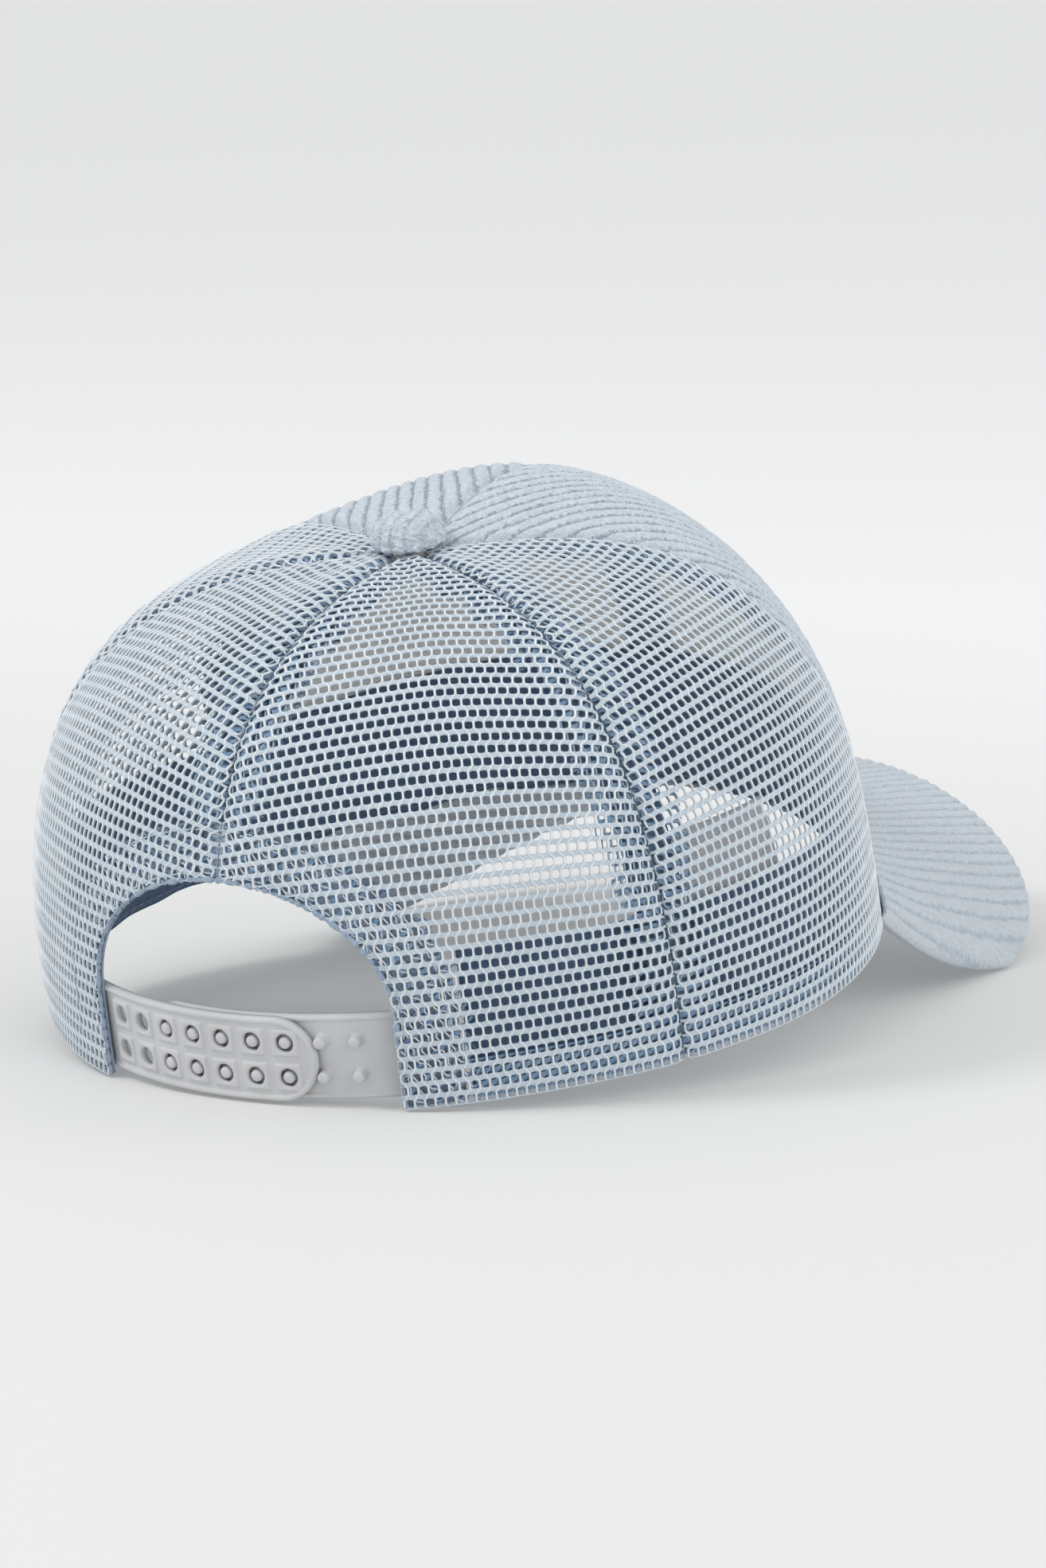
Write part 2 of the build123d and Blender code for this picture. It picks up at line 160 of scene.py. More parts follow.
# ---------------------------------------------------------------- the crown's surface
def roundness(forward):
    """Power of the crown's outline: forward is 1 at the front, 0 at the sides and -1 at the back."""
    lean = (ROUNDNESS_FRONT - ROUNDNESS_BACK) / 2
    middle = (ROUNDNESS_FRONT + ROUNDNESS_BACK) / 2
    return ROUNDNESS_SIDE + lean * forward + (middle - ROUNDNESS_SIDE) * forward**2


def crown_surface(azimuth, elevation):
    """Points of the crown's outer surface in the crown's own frame."""
    azimuth, elevation = np.broadcast_arrays(azimuth, elevation)
    forward, sideways = np.cos(azimuth), np.sin(azimuth)
    power = roundness(forward)
    rise, spread = np.sin(elevation), np.cos(elevation)
    scale = (np.abs(rise) ** power + np.abs(spread) ** power) ** (-1 / power)
    reach = spread * scale
    squeeze = 1 - RIM_SQUEEZE * np.sin(2 * azimuth) ** 2
    bulge = np.clip(4 * reach * (1 - reach), 0, None) ** 1.5
    peak = 1 + FRONT_PEAK * np.clip(forward, 0, None) ** 2 * bulge
    x = HALF_WIDTH * sideways * squeeze * reach
    y = APEX_SHIFT * (1 - reach) - (HALF_LENGTH + FRONT_REACH * forward) * forward * squeeze * reach
    return np.stack([x, y, CROWN_HEIGHT * rise * scale * peak], -1)


def normals_of(surface, first, second, step=2e-3):
    """Unit normals of a surface of two parameters."""
    along = surface(first + step, second) - surface(first - step, second)
    across = surface(first, second + step) - surface(first, second - step)
    normal = np.cross(along, across)
    return normal / np.linalg.norm(normal, axis=-1, keepdims=True)


def crown_point(azimuth, elevation, inset):
    """Points at a depth under the crown's outer surface."""
    normal = normals_of(crown_surface, azimuth, elevation)
    return crown_surface(azimuth, elevation) - normal * np.asarray(inset)[..., None]


def to_row(points):
    """From the crown's own frame to the frame that the cap stands in."""
    x, y, z = np.moveaxis(np.asarray(points, float), -1, 0)
    cos, sin = math.cos(TILT), math.sin(TILT)
    return np.stack([x, y * cos + z * sin, z * cos - y * sin], -1) + np.array(RIM_CENTRE)


def rim_lift(azimuth):
    """Height of the rim over its own plane: it rises towards the front."""
    share = np.minimum(np.abs(azimuth) / LIFT_HALF_ANGLE, 1)
    return RIM_LIFT * (1 - share**2)


def elevation_at(height):
    return np.arcsin(height / CROWN_HEIGHT)


def arch_distance(points, growth=0.0):
    """Rough distance outside the rear arch's outline, in the crown's frame; negative inside."""
    x, y, z = np.moveaxis(points, -1, 0)
    half, rise = ARCH_HALF_WIDTH + growth, ARCH_RISE + growth
    up = np.clip(z - ARCH_SPRING, 0, None)
    round_part = (np.hypot(x / half, up / rise) - 1) * (half + rise) / 2
    return np.where(y > 0, round_part, half)


# ---------------------------------------------------------------- flat patterns of the panels
class Gore:
    """A panel of the crown between two seams, with flat coordinates: u across from its middle line
    and v up along it. The mesh's rows and the corduroy's wales are straight in these."""

    def __init__(self, start, end):
        self.shift = (0.0, 0.0)
        self.spin = 0.0
        self.middle = (start + end) / 2
        self.half = abs(end - start) / 2
        self.elevations = np.radians(np.linspace(-6, 89.9, 400))
        line = crown_surface(np.full(400, self.middle), self.elevations)
        steps = np.linalg.norm(np.diff(line, axis=0), axis=1)
        self.heights = np.concatenate([[0], np.cumsum(steps)])
        self.heights -= np.interp(0, self.elevations, self.heights)
        turn = 1e-3
        sides = [crown_surface(self.middle + sign * turn, self.elevations) for sign in (-1, 1)]
        self.widths = np.linalg.norm(sides[1] - sides[0], axis=1) / (2 * turn)
        self.slopes = np.clip(-np.gradient(self.widths, self.heights), 0, 1.2)
        self.top = np.interp(math.radians(87.5), self.elevations, self.heights)

    def angles(self, u, v):
        """Azimuth and elevation of flat points, beyond the seams too."""
        cos, sin = math.cos(self.spin), math.sin(self.spin)
        u, v = u * cos - v * sin + self.shift[0], u * sin + v * cos + self.shift[1]
        width = np.interp(v, self.heights, self.widths)
        slope = np.interp(v, self.heights, self.slopes)
        sunk = v - np.minimum(u**2 * slope / (2 * width), 0.3 * width)
        return self.middle + u / width, np.interp(sunk, self.heights, self.elevations)

    def across(self, azimuth, elevation):
        """Flat coordinate u of points of the crown, near enough to draw wales by."""
        v = np.interp(elevation, self.elevations, self.heights)
        for _ in range(3):
            width = np.interp(v, self.heights, self.widths)
            slope = np.interp(v, self.heights, self.slopes)
            u = (azimuth - self.middle) * width
            v = np.interp(elevation, self.elevations, self.heights)
            v = v + np.minimum(u**2 * slope / (2 * width), 0.3 * width)
        return u, v

    def to_seam(self, azimuth, elevation):
        """Distance from points of the panel to the nearer of its seams."""
        width = np.interp(elevation, self.elevations, self.widths)
        return np.clip(self.half - np.abs(azimuth - self.middle), 0, None) * width

    def turned_over(self, spin=0.0):
        """The cloth folded back under its own edges: its rows curve the other way."""
        other = copy.copy(self)
        other.slopes = -0.7 * self.slopes
        other.shift = (0.55 * MM, 1.2 * MM)
        other.spin = spin
        return other

    def flat_size(self):
        """Width, height and area of the flat cut."""
        inside = (self.heights >= 0) & (self.heights <= self.top)
        widths = 2 * self.half * self.widths[inside]
        area = np.trapz(widths, self.heights[inside])
        return float(widths.max()), float(self.top), float(area)


GORES = {}
for side, sign in (("left", 1), ("right", -1)):
    GORES[f"front_{side}"] = Gore(0, sign * FRONT_SEAM)
    GORES[f"side_{side}"] = Gore(sign * FRONT_SEAM, sign * BACK_SEAM)
    GORES[f"back_{side}"] = Gore(sign * BACK_SEAM, sign * math.pi)


# ---------------------------------------------------------------- making pieces
def make_piece(name, points, faces, uv=None, materials=(), marks=None):
    """Mesh object in the row's frame. points are in the crown's frame."""
    mesh = bpy.data.meshes.new(name)
    rows = to_row(points)
    flat = np.concatenate([np.asarray(f, dtype=np.int64).ravel() for f in faces])
    sizes = np.concatenate([np.full(len(f), np.asarray(f).shape[1]) for f in faces])
    mesh.vertices.add(len(rows))
    mesh.vertices.foreach_set("co", rows.ravel())
    mesh.loops.add(len(flat))
    mesh.loops.foreach_set("vertex_index", flat.astype(np.int32))
    mesh.polygons.add(len(sizes))
    starts = np.concatenate([[0], np.cumsum(sizes)[:-1]])
    mesh.polygons.foreach_set("loop_start", starts.astype(np.int32))
    mesh.polygons.foreach_set("use_smooth", np.ones(len(sizes), bool))
    if marks is not None:
        mesh.polygons.foreach_set("material_index", np.asarray(marks, np.int32))
    if uv is not None:
        layer = mesh.uv_layers.new(name="flat")
        layer.data.foreach_set("uv", np.asarray(uv, float)[flat].ravel())
    mesh.update()
    mesh.validate()
    piece = bpy.data.objects.new(name, mesh)
    bpy.context.collection.objects.link(piece)
    for material in materials:
        mesh.materials.append(material)
    return piece


def grid_faces(rows, columns, offset=0, flip=False):
    index = np.arange(rows * columns).reshape(rows, columns) + offset
    quads = np.stack([index[:-1, :-1], index[:-1, 1:], index[1:, 1:], index[1:, :-1]], -1).reshape(-1, 4)
    return quads[:, ::-1] if flip else quads


def ring_faces(first, second):
    """Faces between matching rings of points, whose last axis runs round the ring."""
    return np.stack([first, np.roll(first, -1, -1), np.roll(second, -1, -1), second], -1)


def tube_faces(index):
    """Faces between each ring of points and the next one along a tube."""
    return ring_faces(index[..., :-1, :], index[..., 1:, :])


def slab(name, outer, inner, uv, materials):
    """Closed thin piece between two matching grids of points; outer is its right side."""
    rows, columns = outer.shape[:2]
    count = rows * columns
    ring = np.concatenate([
        np.arange(columns),
        columns - 1 + columns * np.arange(1, rows),
        count - 2 - np.arange(columns - 1),
        columns * np.arange(rows - 2, 0, -1),
    ])
    after = np.roll(ring, -1)
    walls = np.stack([ring, ring + count, after + count, after], -1)
    points = np.concatenate([outer.reshape(-1, 3), inner.reshape(-1, 3)])
    faces = np.concatenate([grid_faces(rows, columns), grid_faces(rows, columns, count, True), walls])
    flat = np.concatenate([uv.reshape(-1, 2)] * 2)
    return make_piece(name, points, [faces], flat, materials)


def crown_grid(start, end, low, high, rows, columns, margin=0.0):
    """Azimuths and elevations between two azimuths, from a height over the rim up to an elevation."""
    share = np.linspace(0, 1, rows)[:, None]
    side = np.linspace(0, 1, columns)[None, :]
    azimuth = start + (end - start) * side + 0 * share
    bottom = elevation_at(rim_lift(azimuth) + low)
    elevation = bottom + (high(azimuth) - bottom) * share
    radius = from_axis(crown_surface(azimuth, elevation))
    return azimuth + margin / radius * (1 - 2 * side), elevation


def from_axis(points):
    return np.hypot(points[..., 0], points[..., 1] - APEX_SHIFT)


def near_apex(radius):
    """Elevation that stops about this far from the apex."""
    return lambda azimuth: math.pi / 2 - radius / HALF_WIDTH + 0 * azimuth


def over_rim(height):
    """Elevation that stops at this height over the rim."""
    return lambda azimuth: elevation_at(rim_lift(azimuth) + height)


def arc_lengths(points):
    """Distance along the rows and up the columns of a grid of points, as flat coordinates."""
    across = np.linalg.norm(np.diff(points, axis=1), axis=-1)
    along = np.linalg.norm(np.diff(points, axis=0), axis=-1)
    u = np.pad(np.cumsum(across, 1), ((0, 0), (1, 0)))
    v = np.pad(np.cumsum(along, 0), ((1, 0), (0, 0)))
    return np.stack([u - u[:, -1:] / 2, v], -1)


def crown_slab(name, start, end, low, high, inset, thickness, rows, columns, material, margin=0.0):
    azimuth, elevation = crown_grid(start, end, low, high, rows, columns, margin)
    outer = crown_point(azimuth, elevation, inset + 0 * azimuth)
    inner = crown_point(azimuth, elevation, inset + thickness + 0 * azimuth)
    return slab(name, outer, inner, arc_lengths(outer), [material])


# ---------------------------------------------------------------- materials
def new_material(name):
    material = bpy.data.materials.new(name)
    material.use_nodes = True
    return material, material.node_tree.nodes, material.node_tree.links


def ramp_between(nodes, links, source, low, high, start=0.3, end=0.7):
    ramp = nodes.new("ShaderNodeValToRGB")
    ramp.color_ramp.elements[0].position = start
    ramp.color_ramp.elements[1].position = end
    ramp.color_ramp.elements[0].color = (*low, 1)
    ramp.color_ramp.elements[1].color = (*high, 1)
    links.new(source, ramp.inputs["Fac"])
    return ramp.outputs["Color"]


def noise(nodes, links, coordinates, scale, detail=3.0, roughness=0.6):
    texture = nodes.new("ShaderNodeTexNoise")
    texture.inputs["Scale"].default_value = scale
    texture.inputs["Detail"].default_value = detail
    texture.inputs["Roughness"].default_value = roughness
    links.new(coordinates, texture.inputs["Vector"])
    return texture.outputs["Fac"]


def wave(nodes, links, coordinates, pitch, direction="X", distortion=0.0, fineness=1.0):
    """Bands a pitch apart. Wave texture's bands repeat every pi/10 at scale 1."""
    texture = nodes.new("ShaderNodeTexWave")
    texture.bands_direction = direction
    texture.inputs["Scale"].default_value = math.pi / 10 / pitch
    texture.inputs["Distortion"].default_value = distortion
    texture.inputs["Detail"].default_value = 1.0
    texture.inputs["Detail Scale"].default_value = fineness
    links.new(coordinates, texture.inputs["Vector"])
    return texture.outputs["Fac"]


def bump(nodes, links, height, distance, strength=1.0, below=None):
    node = nodes.new("ShaderNodeBump")
    node.inputs["Distance"].default_value = distance
    node.inputs["Strength"].default_value = strength
    links.new(height, node.inputs["Height"])
    if below is not None:
        links.new(below, node.inputs["Normal"])
    return node.outputs["Normal"]


def cloth_material(name, low, high, blotch=60.0, fibre=2500.0, fibre_depth=0.00015, weave=None, rough=0.9,
                   sheen=0.3, specular=0.2):
    """Cloth with uneven colour, fine fibres, and a weave if a pitch is given."""
    material, nodes, links = new_material(name)
    shader = nodes["Principled BSDF"]
    place = nodes.new("ShaderNodeTexCoord")
    patches = noise(nodes, links, place.outputs["Object"], blotch, 4.0)
    links.new(ramp_between(nodes, links, patches, low, high), shader.inputs["Base Color"])
    fibres = noise(nodes, links, place.outputs["Object"], fibre, 2.0)
    normal = bump(nodes, links, fibres, fibre_depth)
    if weave:
        for direction in ("X", "Y"):
            threads = wave(nodes, links, place.outputs["UV"], weave, direction, 0.6)
            normal = bump(nodes, links, threads, weave * 0.3, 0.7, normal)
    links.new(normal, shader.inputs["Normal"])
    shader.inputs["Roughness"].default_value = rough
    shader.inputs["Sheen Weight"].default_value = sheen
    shader.inputs["Sheen Roughness"].default_value = 0.5
    shader.inputs["Specular IOR Level"].default_value = specular
    return material


def corduroy_material(name, groove_shade, wale, shadow):
    """Cut pile: pale wales, with the grooves between them painted darker as painted shade."""
    material, nodes, links = new_material(name)
    shader = nodes["Principled BSDF"]
    place = nodes.new("ShaderNodeTexCoord")
    ribs = nodes.new("ShaderNodeMath")
    ribs.operation = "MULTIPLY_ADD"
    links.new(noise(nodes, links, place.outputs["Object"], 1700.0, 3.0), ribs.inputs[0])
    ribs.inputs[1].default_value = 1.0
    links.new(wave(nodes, links, place.outputs["UV"], WALE_PITCH, "X", 1.6, 9.0), ribs.inputs[2])
    # painted shade: the first colour falls in the grooves between the wales, where the wave is low
    colour = ramp_between(nodes, links, ribs.outputs["Value"], groove_shade, wale, 0.45, 0.78)
    patches = noise(nodes, links, place.outputs["Object"], 900.0, 6.0, 0.75)
    shade = ramp_between(nodes, links, patches, shadow, (1.0, 1.0, 1.0), 0.35, 0.60)
    mix = nodes.new("ShaderNodeMix")
    mix.data_type = "RGBA"
    mix.blend_type = "MULTIPLY"
    mix.inputs["Factor"].default_value = 1.0
    links.new(colour, mix.inputs["A"])
    links.new(shade, mix.inputs["B"])
    links.new(mix.outputs["Result"], shader.inputs["Base Color"])
    fibres = noise(nodes, links, place.outputs["Object"], 3500.0, 3.0)
    tufts = bump(nodes, links, noise(nodes, links, place.outputs["Object"], 1300.0, 2.0), 0.0006, 0.8)
    links.new(bump(nodes, links, fibres, 0.0004, 0.8, tufts), shader.inputs["Normal"])
    shader.inputs["Roughness"].default_value = 0.95
    shader.inputs["Sheen Weight"].default_value = 0.25
    shader.inputs["Sheen Roughness"].default_value = 0.6
    shader.inputs["Specular IOR Level"].default_value = 0.08
    return material


def painted_glow_through_cloth(material, colour, strength):
    """Painted glow: a faint emission stands in for the light that thin cloth lets through from behind, so its
    inside is never quite dark.
    """
    shader = material.node_tree.nodes["Principled BSDF"]
    shader.inputs["Emission Color"].default_value = (*colour, 1)
    shader.inputs["Emission Strength"].default_value = strength


def plastic_material(name, low, high, rough=0.42):
    material, nodes, links = new_material(name)
    shader = nodes["Principled BSDF"]
    place = nodes.new("ShaderNodeTexCoord")
    patches = noise(nodes, links, place.outputs["Object"], 90.0, 5.0)
    links.new(ramp_between(nodes, links, patches, low, high), shader.inputs["Base Color"])
    grain = noise(nodes, links, place.outputs["Object"], 3500.0, 2.0)
    links.new(bump(nodes, links, grain, 0.00004), shader.inputs["Normal"])
    spread = nodes.new("ShaderNodeMapRange")
    spread.inputs["To Min"].default_value = rough - 0.06
    spread.inputs["To Max"].default_value = rough + 0.1
    links.new(patches, spread.inputs["Value"])
    links.new(spread.outputs["Result"], shader.inputs["Roughness"])
    shader.inputs["Specular IOR Level"].default_value = 0.35
    return material


def metal_material(name, colour):
    material, nodes, links = new_material(name)
    shader = nodes["Principled BSDF"]
    place = nodes.new("ShaderNodeTexCoord")
    patches = noise(nodes, links, place.outputs["Object"], 400.0, 4.0)
    dark = tuple(c * 0.75 for c in colour)
    links.new(ramp_between(nodes, links, patches, dark, colour), shader.inputs["Base Color"])
    links.new(bump(nodes, links, patches, 0.00005), shader.inputs["Normal"])
    shader.inputs["Metallic"].default_value = 1.0
    shader.inputs["Roughness"].default_value = 0.35
    return material


MATERIALS = {
    # each corduroy's first colour is the painted shade of its grooves
    "corduroy": corduroy_material(
        "corduroy", (0.36, 0.45, 0.53), (0.73, 0.80, 0.86), (0.76, 0.79, 0.82)),
    "brim_corduroy": corduroy_material(
        "brim_corduroy", (0.50, 0.57, 0.63), (0.66, 0.72, 0.77), (0.86, 0.88, 0.90)),
    "button_corduroy": corduroy_material(
        "button_corduroy", (0.58, 0.66, 0.73), (0.76, 0.83, 0.89), (0.76, 0.79, 0.82)),
    "mesh": cloth_material(
        "mesh_knit", (0.50, 0.58, 0.65), (0.58, 0.66, 0.72), 120.0, 5000.0, 0.00008,
        rough=0.6, sheen=0.1, specular=0.35),
    "thread": cloth_material(
        "mesh_thread", (0.76, 0.82, 0.87), (0.90, 0.93, 0.95), 300.0, 6000.0, 0.00005,
        rough=0.5, sheen=0.1, specular=0.4),
    # the turned-under layers are the same mesh cloth as the first layer, painted darker and bluer as painted
    # shade for where they lie behind it
    "under": cloth_material(
        "mesh_turned_under_painted_shade", (0.17, 0.28, 0.43), (0.26, 0.39, 0.55), 120.0, 5000.0, 0.00008,
        rough=0.7, sheen=0.1),
    "painted_shade_under_thread": cloth_material(
        "turned_under_thread", (0.38, 0.50, 0.63), (0.50, 0.62, 0.73), 300.0, 6000.0, 0.00005,
        rough=0.5, sheen=0.1),
    "buckram": cloth_material("buckram", (0.70, 0.70, 0.67), (0.78, 0.78, 0.75), 90.0, weave=0.9 * MM),
    "tape": cloth_material("seam_tape", (0.19, 0.28, 0.40), (0.26, 0.36, 0.49), 120.0, weave=0.5 * MM),
    "binding": cloth_material("arch_binding", (0.32, 0.42, 0.54), (0.40, 0.50, 0.62), 120.0, weave=0.5 * MM),
    "sweatband": cloth_material("sweatband", (0.10, 0.17, 0.28), (0.15, 0.23, 0.36), 80.0, weave=0.55 * MM),
    "dark_stitch": cloth_material("dark_stitching", (0.17, 0.26, 0.38), (0.24, 0.33, 0.45), 400.0),
    "stitch": cloth_material("stitching", (0.42, 0.51, 0.60), (0.55, 0.63, 0.70), 400.0),
    "label": cloth_material(
        "label_satin", (0.70, 0.71, 0.72), (0.80, 0.81, 0.82), 60.0, weave=0.3 * MM, rough=0.5),
    "strap": plastic_material("strap_plastic", (0.56, 0.565, 0.575), (0.63, 0.635, 0.645)),
    "board": plastic_material("board_plastic", (0.70, 0.70, 0.66), (0.76, 0.76, 0.72), 0.6),
    "metal": metal_material("button_metal", (0.75, 0.76, 0.77)),
}

# painted glow on the buckram inside the front panels, for light let through the corduroy
painted_glow_through_cloth(MATERIALS["buckram"], (0.9, 0.9, 0.85), 0.13)


# ---------------------------------------------------------------- knitted mesh
def hole_ring(growth):
    """Eight points round a hole, from its lower left corner."""
    ring = []
    for x, y in RING_BOUNDARY:
        corner = x != 0 and y != 0
        reach = HOLE_CORNER if corner else HOLE_SIDE
        ring.append((x * (reach[0] + growth), y * (reach[1] + growth)))
    return np.array(ring)


def lattice_size(gore):
    """Rows of holes, and how many strands each side of the middle, that cover a panel at its spin."""
    half = gore.half * gore.widths.max()
    spare = half + gore.top if gore.spin else 0.0
    rows = np.arange(-1 - int(spare / ROW_PITCH), int((gore.top + spare) / ROW_PITCH) + 2)
    return rows, int((half + spare) / HOLE_PITCH) + 2


def lattice_cells(gore, phase):
    """Rows and half-pitch columns of every hole of a panel's flat rectangle."""
    rows, half_count = lattice_size(gore)
    row, column = np.meshgrid(rows, np.arange(-half_count, half_count + 1), indexing="ij")
    middle_k = 2 * column + (row + phase) % 2
    return row.ravel(), middle_k.ravel()


def panel_inset(gore, azimuth, elevation, depth):
    """Depth of a mesh panel under the crown's surface: it dips into its seams and puffs up beside them."""
    to_seam = gore.to_seam(azimuth, elevation)
    dip = 1.0 * MM * np.exp(-(to_seam / (1.3 * MM)) ** 2)
    puff = 0.25 * MM * np.exp(-((to_seam - 5 * MM) / (3 * MM)) ** 2)
    ripple = 0.25 * MM * np.sin(9 * azimuth + 5 * elevation) * np.sin(7 * elevation - 4 * azimuth)
    return depth + dip - puff + ripple + 0.3 * MM


def place_flat(gore, flat, depth):
    """Crown frame points of flat points, pulled in to the panel's edges, and which lie inside it."""
    azimuth, elevation = gore.angles(flat[:, 0], flat[:, 1])
    low = elevation_at(rim_lift(azimuth) + 0.3 * MM)
    high = math.radians(87.3)
    gap = 0.1 * MM / np.interp(elevation, gore.elevations, gore.widths)
    turn = azimuth - gore.middle
    limit = gore.half - gap
    inside = (np.abs(turn) <= limit) & (elevation >= low) & (elevation <= high)
    azimuth = gore.middle + np.clip(turn, -limit, limit)
    elevation = np.clip(elevation, low, high)
    inset = panel_inset(gore, azimuth, elevation, depth)
    points = crown_point(azimuth, elevation, inset)
    off_arch = arch_distance(points)
    inside &= off_arch >= 0
    return pull_out_of_arch(points), inside


def pull_out_of_arch(points):
    """Moves points inside the arch's outline onto it."""
    points = points.copy()
    x, y, z = points.T
    up = np.clip(z - ARCH_SPRING, 0, None)
    share = np.hypot(x / ARCH_HALF_WIDTH, up / ARCH_RISE)
    grow = np.where((y > 0) & (share < 1) & (share > 0.2), 1 / np.clip(share, 0.2, None), 1)
    points[:, 0] = x * grow
    points[:, 2] = np.where(z > ARCH_SPRING, ARCH_SPRING + up * grow, z)
    return points


def keep_used(points, uv, face_sets):
    """Drops the points that no face uses."""
    used = np.unique(np.concatenate([f.ravel() for f in face_sets]))
    remap = np.full(len(points), -1)
    remap[used] = np.arange(len(used))
    return points[used], uv[used], [remap[f] for f in face_sets]


def shared_nodes(keys):
    """The different keys, and each key's place among them: neighbouring cells share their edges."""
    unique, inverse = np.unique(keys.reshape(-1, 2), axis=0, return_inverse=True)
    return unique, inverse.reshape(keys.shape[:2])


def lattice(gore, depth, phase=0, keep=None):
    """Knitted cloth of a panel: a ring of faces round each hole, and the raised threads."""
    row, middle_k = lattice_cells(gore, phase)
    count = len(row)
    offsets = np.array(RING_BOUNDARY)
    keys = np.stack([
        middle_k[:, None] + offsets[None, :, 0],
        2 * row[:, None] + 1 + offsets[None, :, 1],
    ], -1)
    shared, border = shared_nodes(keys)
    centre = np.stack([middle_k * HOLE_PITCH / 2, (row + 0.5) * ROW_PITCH], -1)
    border_flat = np.stack([shared[:, 0] * HOLE_PITCH / 2, shared[:, 1] * ROW_PITCH / 2], -1)
    lip_flat = (centre[:, None] + hole_ring(LIP)[None]).reshape(-1, 2)
    hole_flat = (centre[:, None] + hole_ring(0)[None]).reshape(-1, 2)
    nodes = len(shared)
    flat = np.concatenate([border_flat, lip_flat, hole_flat, hole_flat, border_flat])
    depths = np.concatenate([
        np.full(nodes, 0.0), np.full(8 * count, 0.0), np.full(8 * count, 0.12 * MM),
        np.full(8 * count, CLOTH - 0.05 * MM), np.full(nodes, CLOTH),
    ]) + depth
    points, _ = place_flat(gore, flat, depths)
    lip = nodes + np.arange(8 * count).reshape(count, 8)
    rings = [border, lip, lip + 8 * count, lip + 16 * count, border + nodes + 24 * count]
    _, inside = place_flat(gore, centre, np.full(count, depth))
    if keep is not None:
        inside &= keep(gore, *gore.angles(centre[:, 0], centre[:, 1]))
    faces = []
    for outer, inner in zip(rings, rings[1:]):
        faces.append(ring_faces(outer, inner)[inside].reshape(-1, 4))
    cloth = np.concatenate(faces)
    extra, extra_flat, tubes = thread_tubes(gore, depth, phase, len(points), keep)
    points = np.concatenate([points, extra])
    flat = np.concatenate([flat, extra_flat])
    marks = np.concatenate([np.zeros(len(cloth), int), np.ones(len(tubes), int)])
    points, flat, sets = keep_used(points, flat, [cloth, tubes])
    return points, flat, sets, marks


def thread_tubes(gore, depth, phase, offset, keep):
    """Threads that climb between the holes and step half a pitch to and fro over each ribbon."""
    rows, half_count = lattice_size(gore)
    strands = np.arange(-half_count, half_count + 1)
    strand, row = np.meshgrid(strands, rows, indexing="ij")
    across = (2 * strand + (row + phase) % 2 - 1) * HOLE_PITCH / 2
    u = np.repeat(across[:, :, None], 2, 2).reshape(len(strands), -1)
    v = (row[:, :, None] * ROW_PITCH + np.array(THREAD_ENDS)).reshape(len(strands), -1)
    flat = np.stack([u, v], -1)
    every = flat[:, :, None, :] + np.stack([THREAD_SECTION[:, 0], 0 * THREAD_SECTION[:, 0]], -1)
    depths = depth - THREAD_SECTION[:, 1] - 0.02 * MM + 0 * every[..., 0]
    points, _ = place_flat(gore, every.reshape(-1, 2), depths.ravel())
    _, inside = place_flat(gore, flat.reshape(-1, 2), np.full(flat[..., 0].size, depth))
    if keep is not None:
        inside &= keep(gore, *gore.angles(flat[..., 0].ravel(), flat[..., 1].ravel()))
    inside = inside.reshape(u.shape)
    index = np.arange(every[..., 0].size).reshape(every.shape[:3]) + offset
    both = inside[:, :-1] & inside[:, 1:]
    return points, every.reshape(-1, 2), tube_faces(index)[both].reshape(-1, 4)


def mesh_piece(name, gore, depth, phase=0, keep=None):
    points, flat, sets, marks = lattice(gore, depth, phase, keep)
    return make_piece(name, points, sets, flat, [MATERIALS["mesh"], MATERIALS["thread"]], marks)


def turned_under(name, gore, depth, phase, keep, thread):
    """A second layer of a panel's mesh, behind the first, where its cloth is folded back. Its cloth is
    painted darker, as painted shade.
    """
    piece = mesh_piece(name, gore, depth, phase, keep)
    # painted shade: the turned-under cloth takes the darker copy of the mesh's colours
    piece.data.materials[0] = MATERIALS["under"]
    piece.data.materials[1] = MATERIALS[thread]
    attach(piece, "crown")
    return piece


def mesh_panel(place, side):
    """One knitted panel with what is folded under along its seams, its rim and the rear arch."""
    gore = GORES[f"{place}_{side}"]
    piece = mesh_piece(f"{place}_mesh_{side}_knit", gore, 0.0)
    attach(piece, "crown")
    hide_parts(f"{place}_mesh_{side}")
    width, height, area = gore.flat_size()
    folded = [turned_under(
        f"{place}_allowance_{side}", gore.turned_over(), UNDER_DEPTH, 1, doubled, "painted_shade_under_thread")]
    if place == "back":
        folded.append(turned_under(
            f"arch_hem_{side}", gore.turned_over(HEM_SPIN), HEM_DEPTH, 0, round_arch, "thread"))
        area -= ARCH_HALF_WIDTH * (ARCH_SPRING + ARCH_RISE * math.pi / 4)


def build_mesh_panels():
    for side in ("left", "right"):
        for place in ("side", "back"):
            mesh_panel(place, side)


def round_arch(gore, azimuth, elevation):
    """Where the mesh is turned under round the arch."""
    off_arch = arch_distance(crown_surface(azimuth, elevation))
    return (off_arch > 0) & (off_arch < BINDING_WIDTH)


def doubled(gore, azimuth, elevation):
    """Where the mesh is turned under beside the seams and along the rim."""
    to_seam = gore.to_seam(azimuth, elevation)
    hem = crown_surface(azimuth, elevation)[..., 2] < RIM_HEM
    return ((to_seam < SEAM_ALLOWANCE) | hem) & ~round_arch(gore, azimuth, elevation)


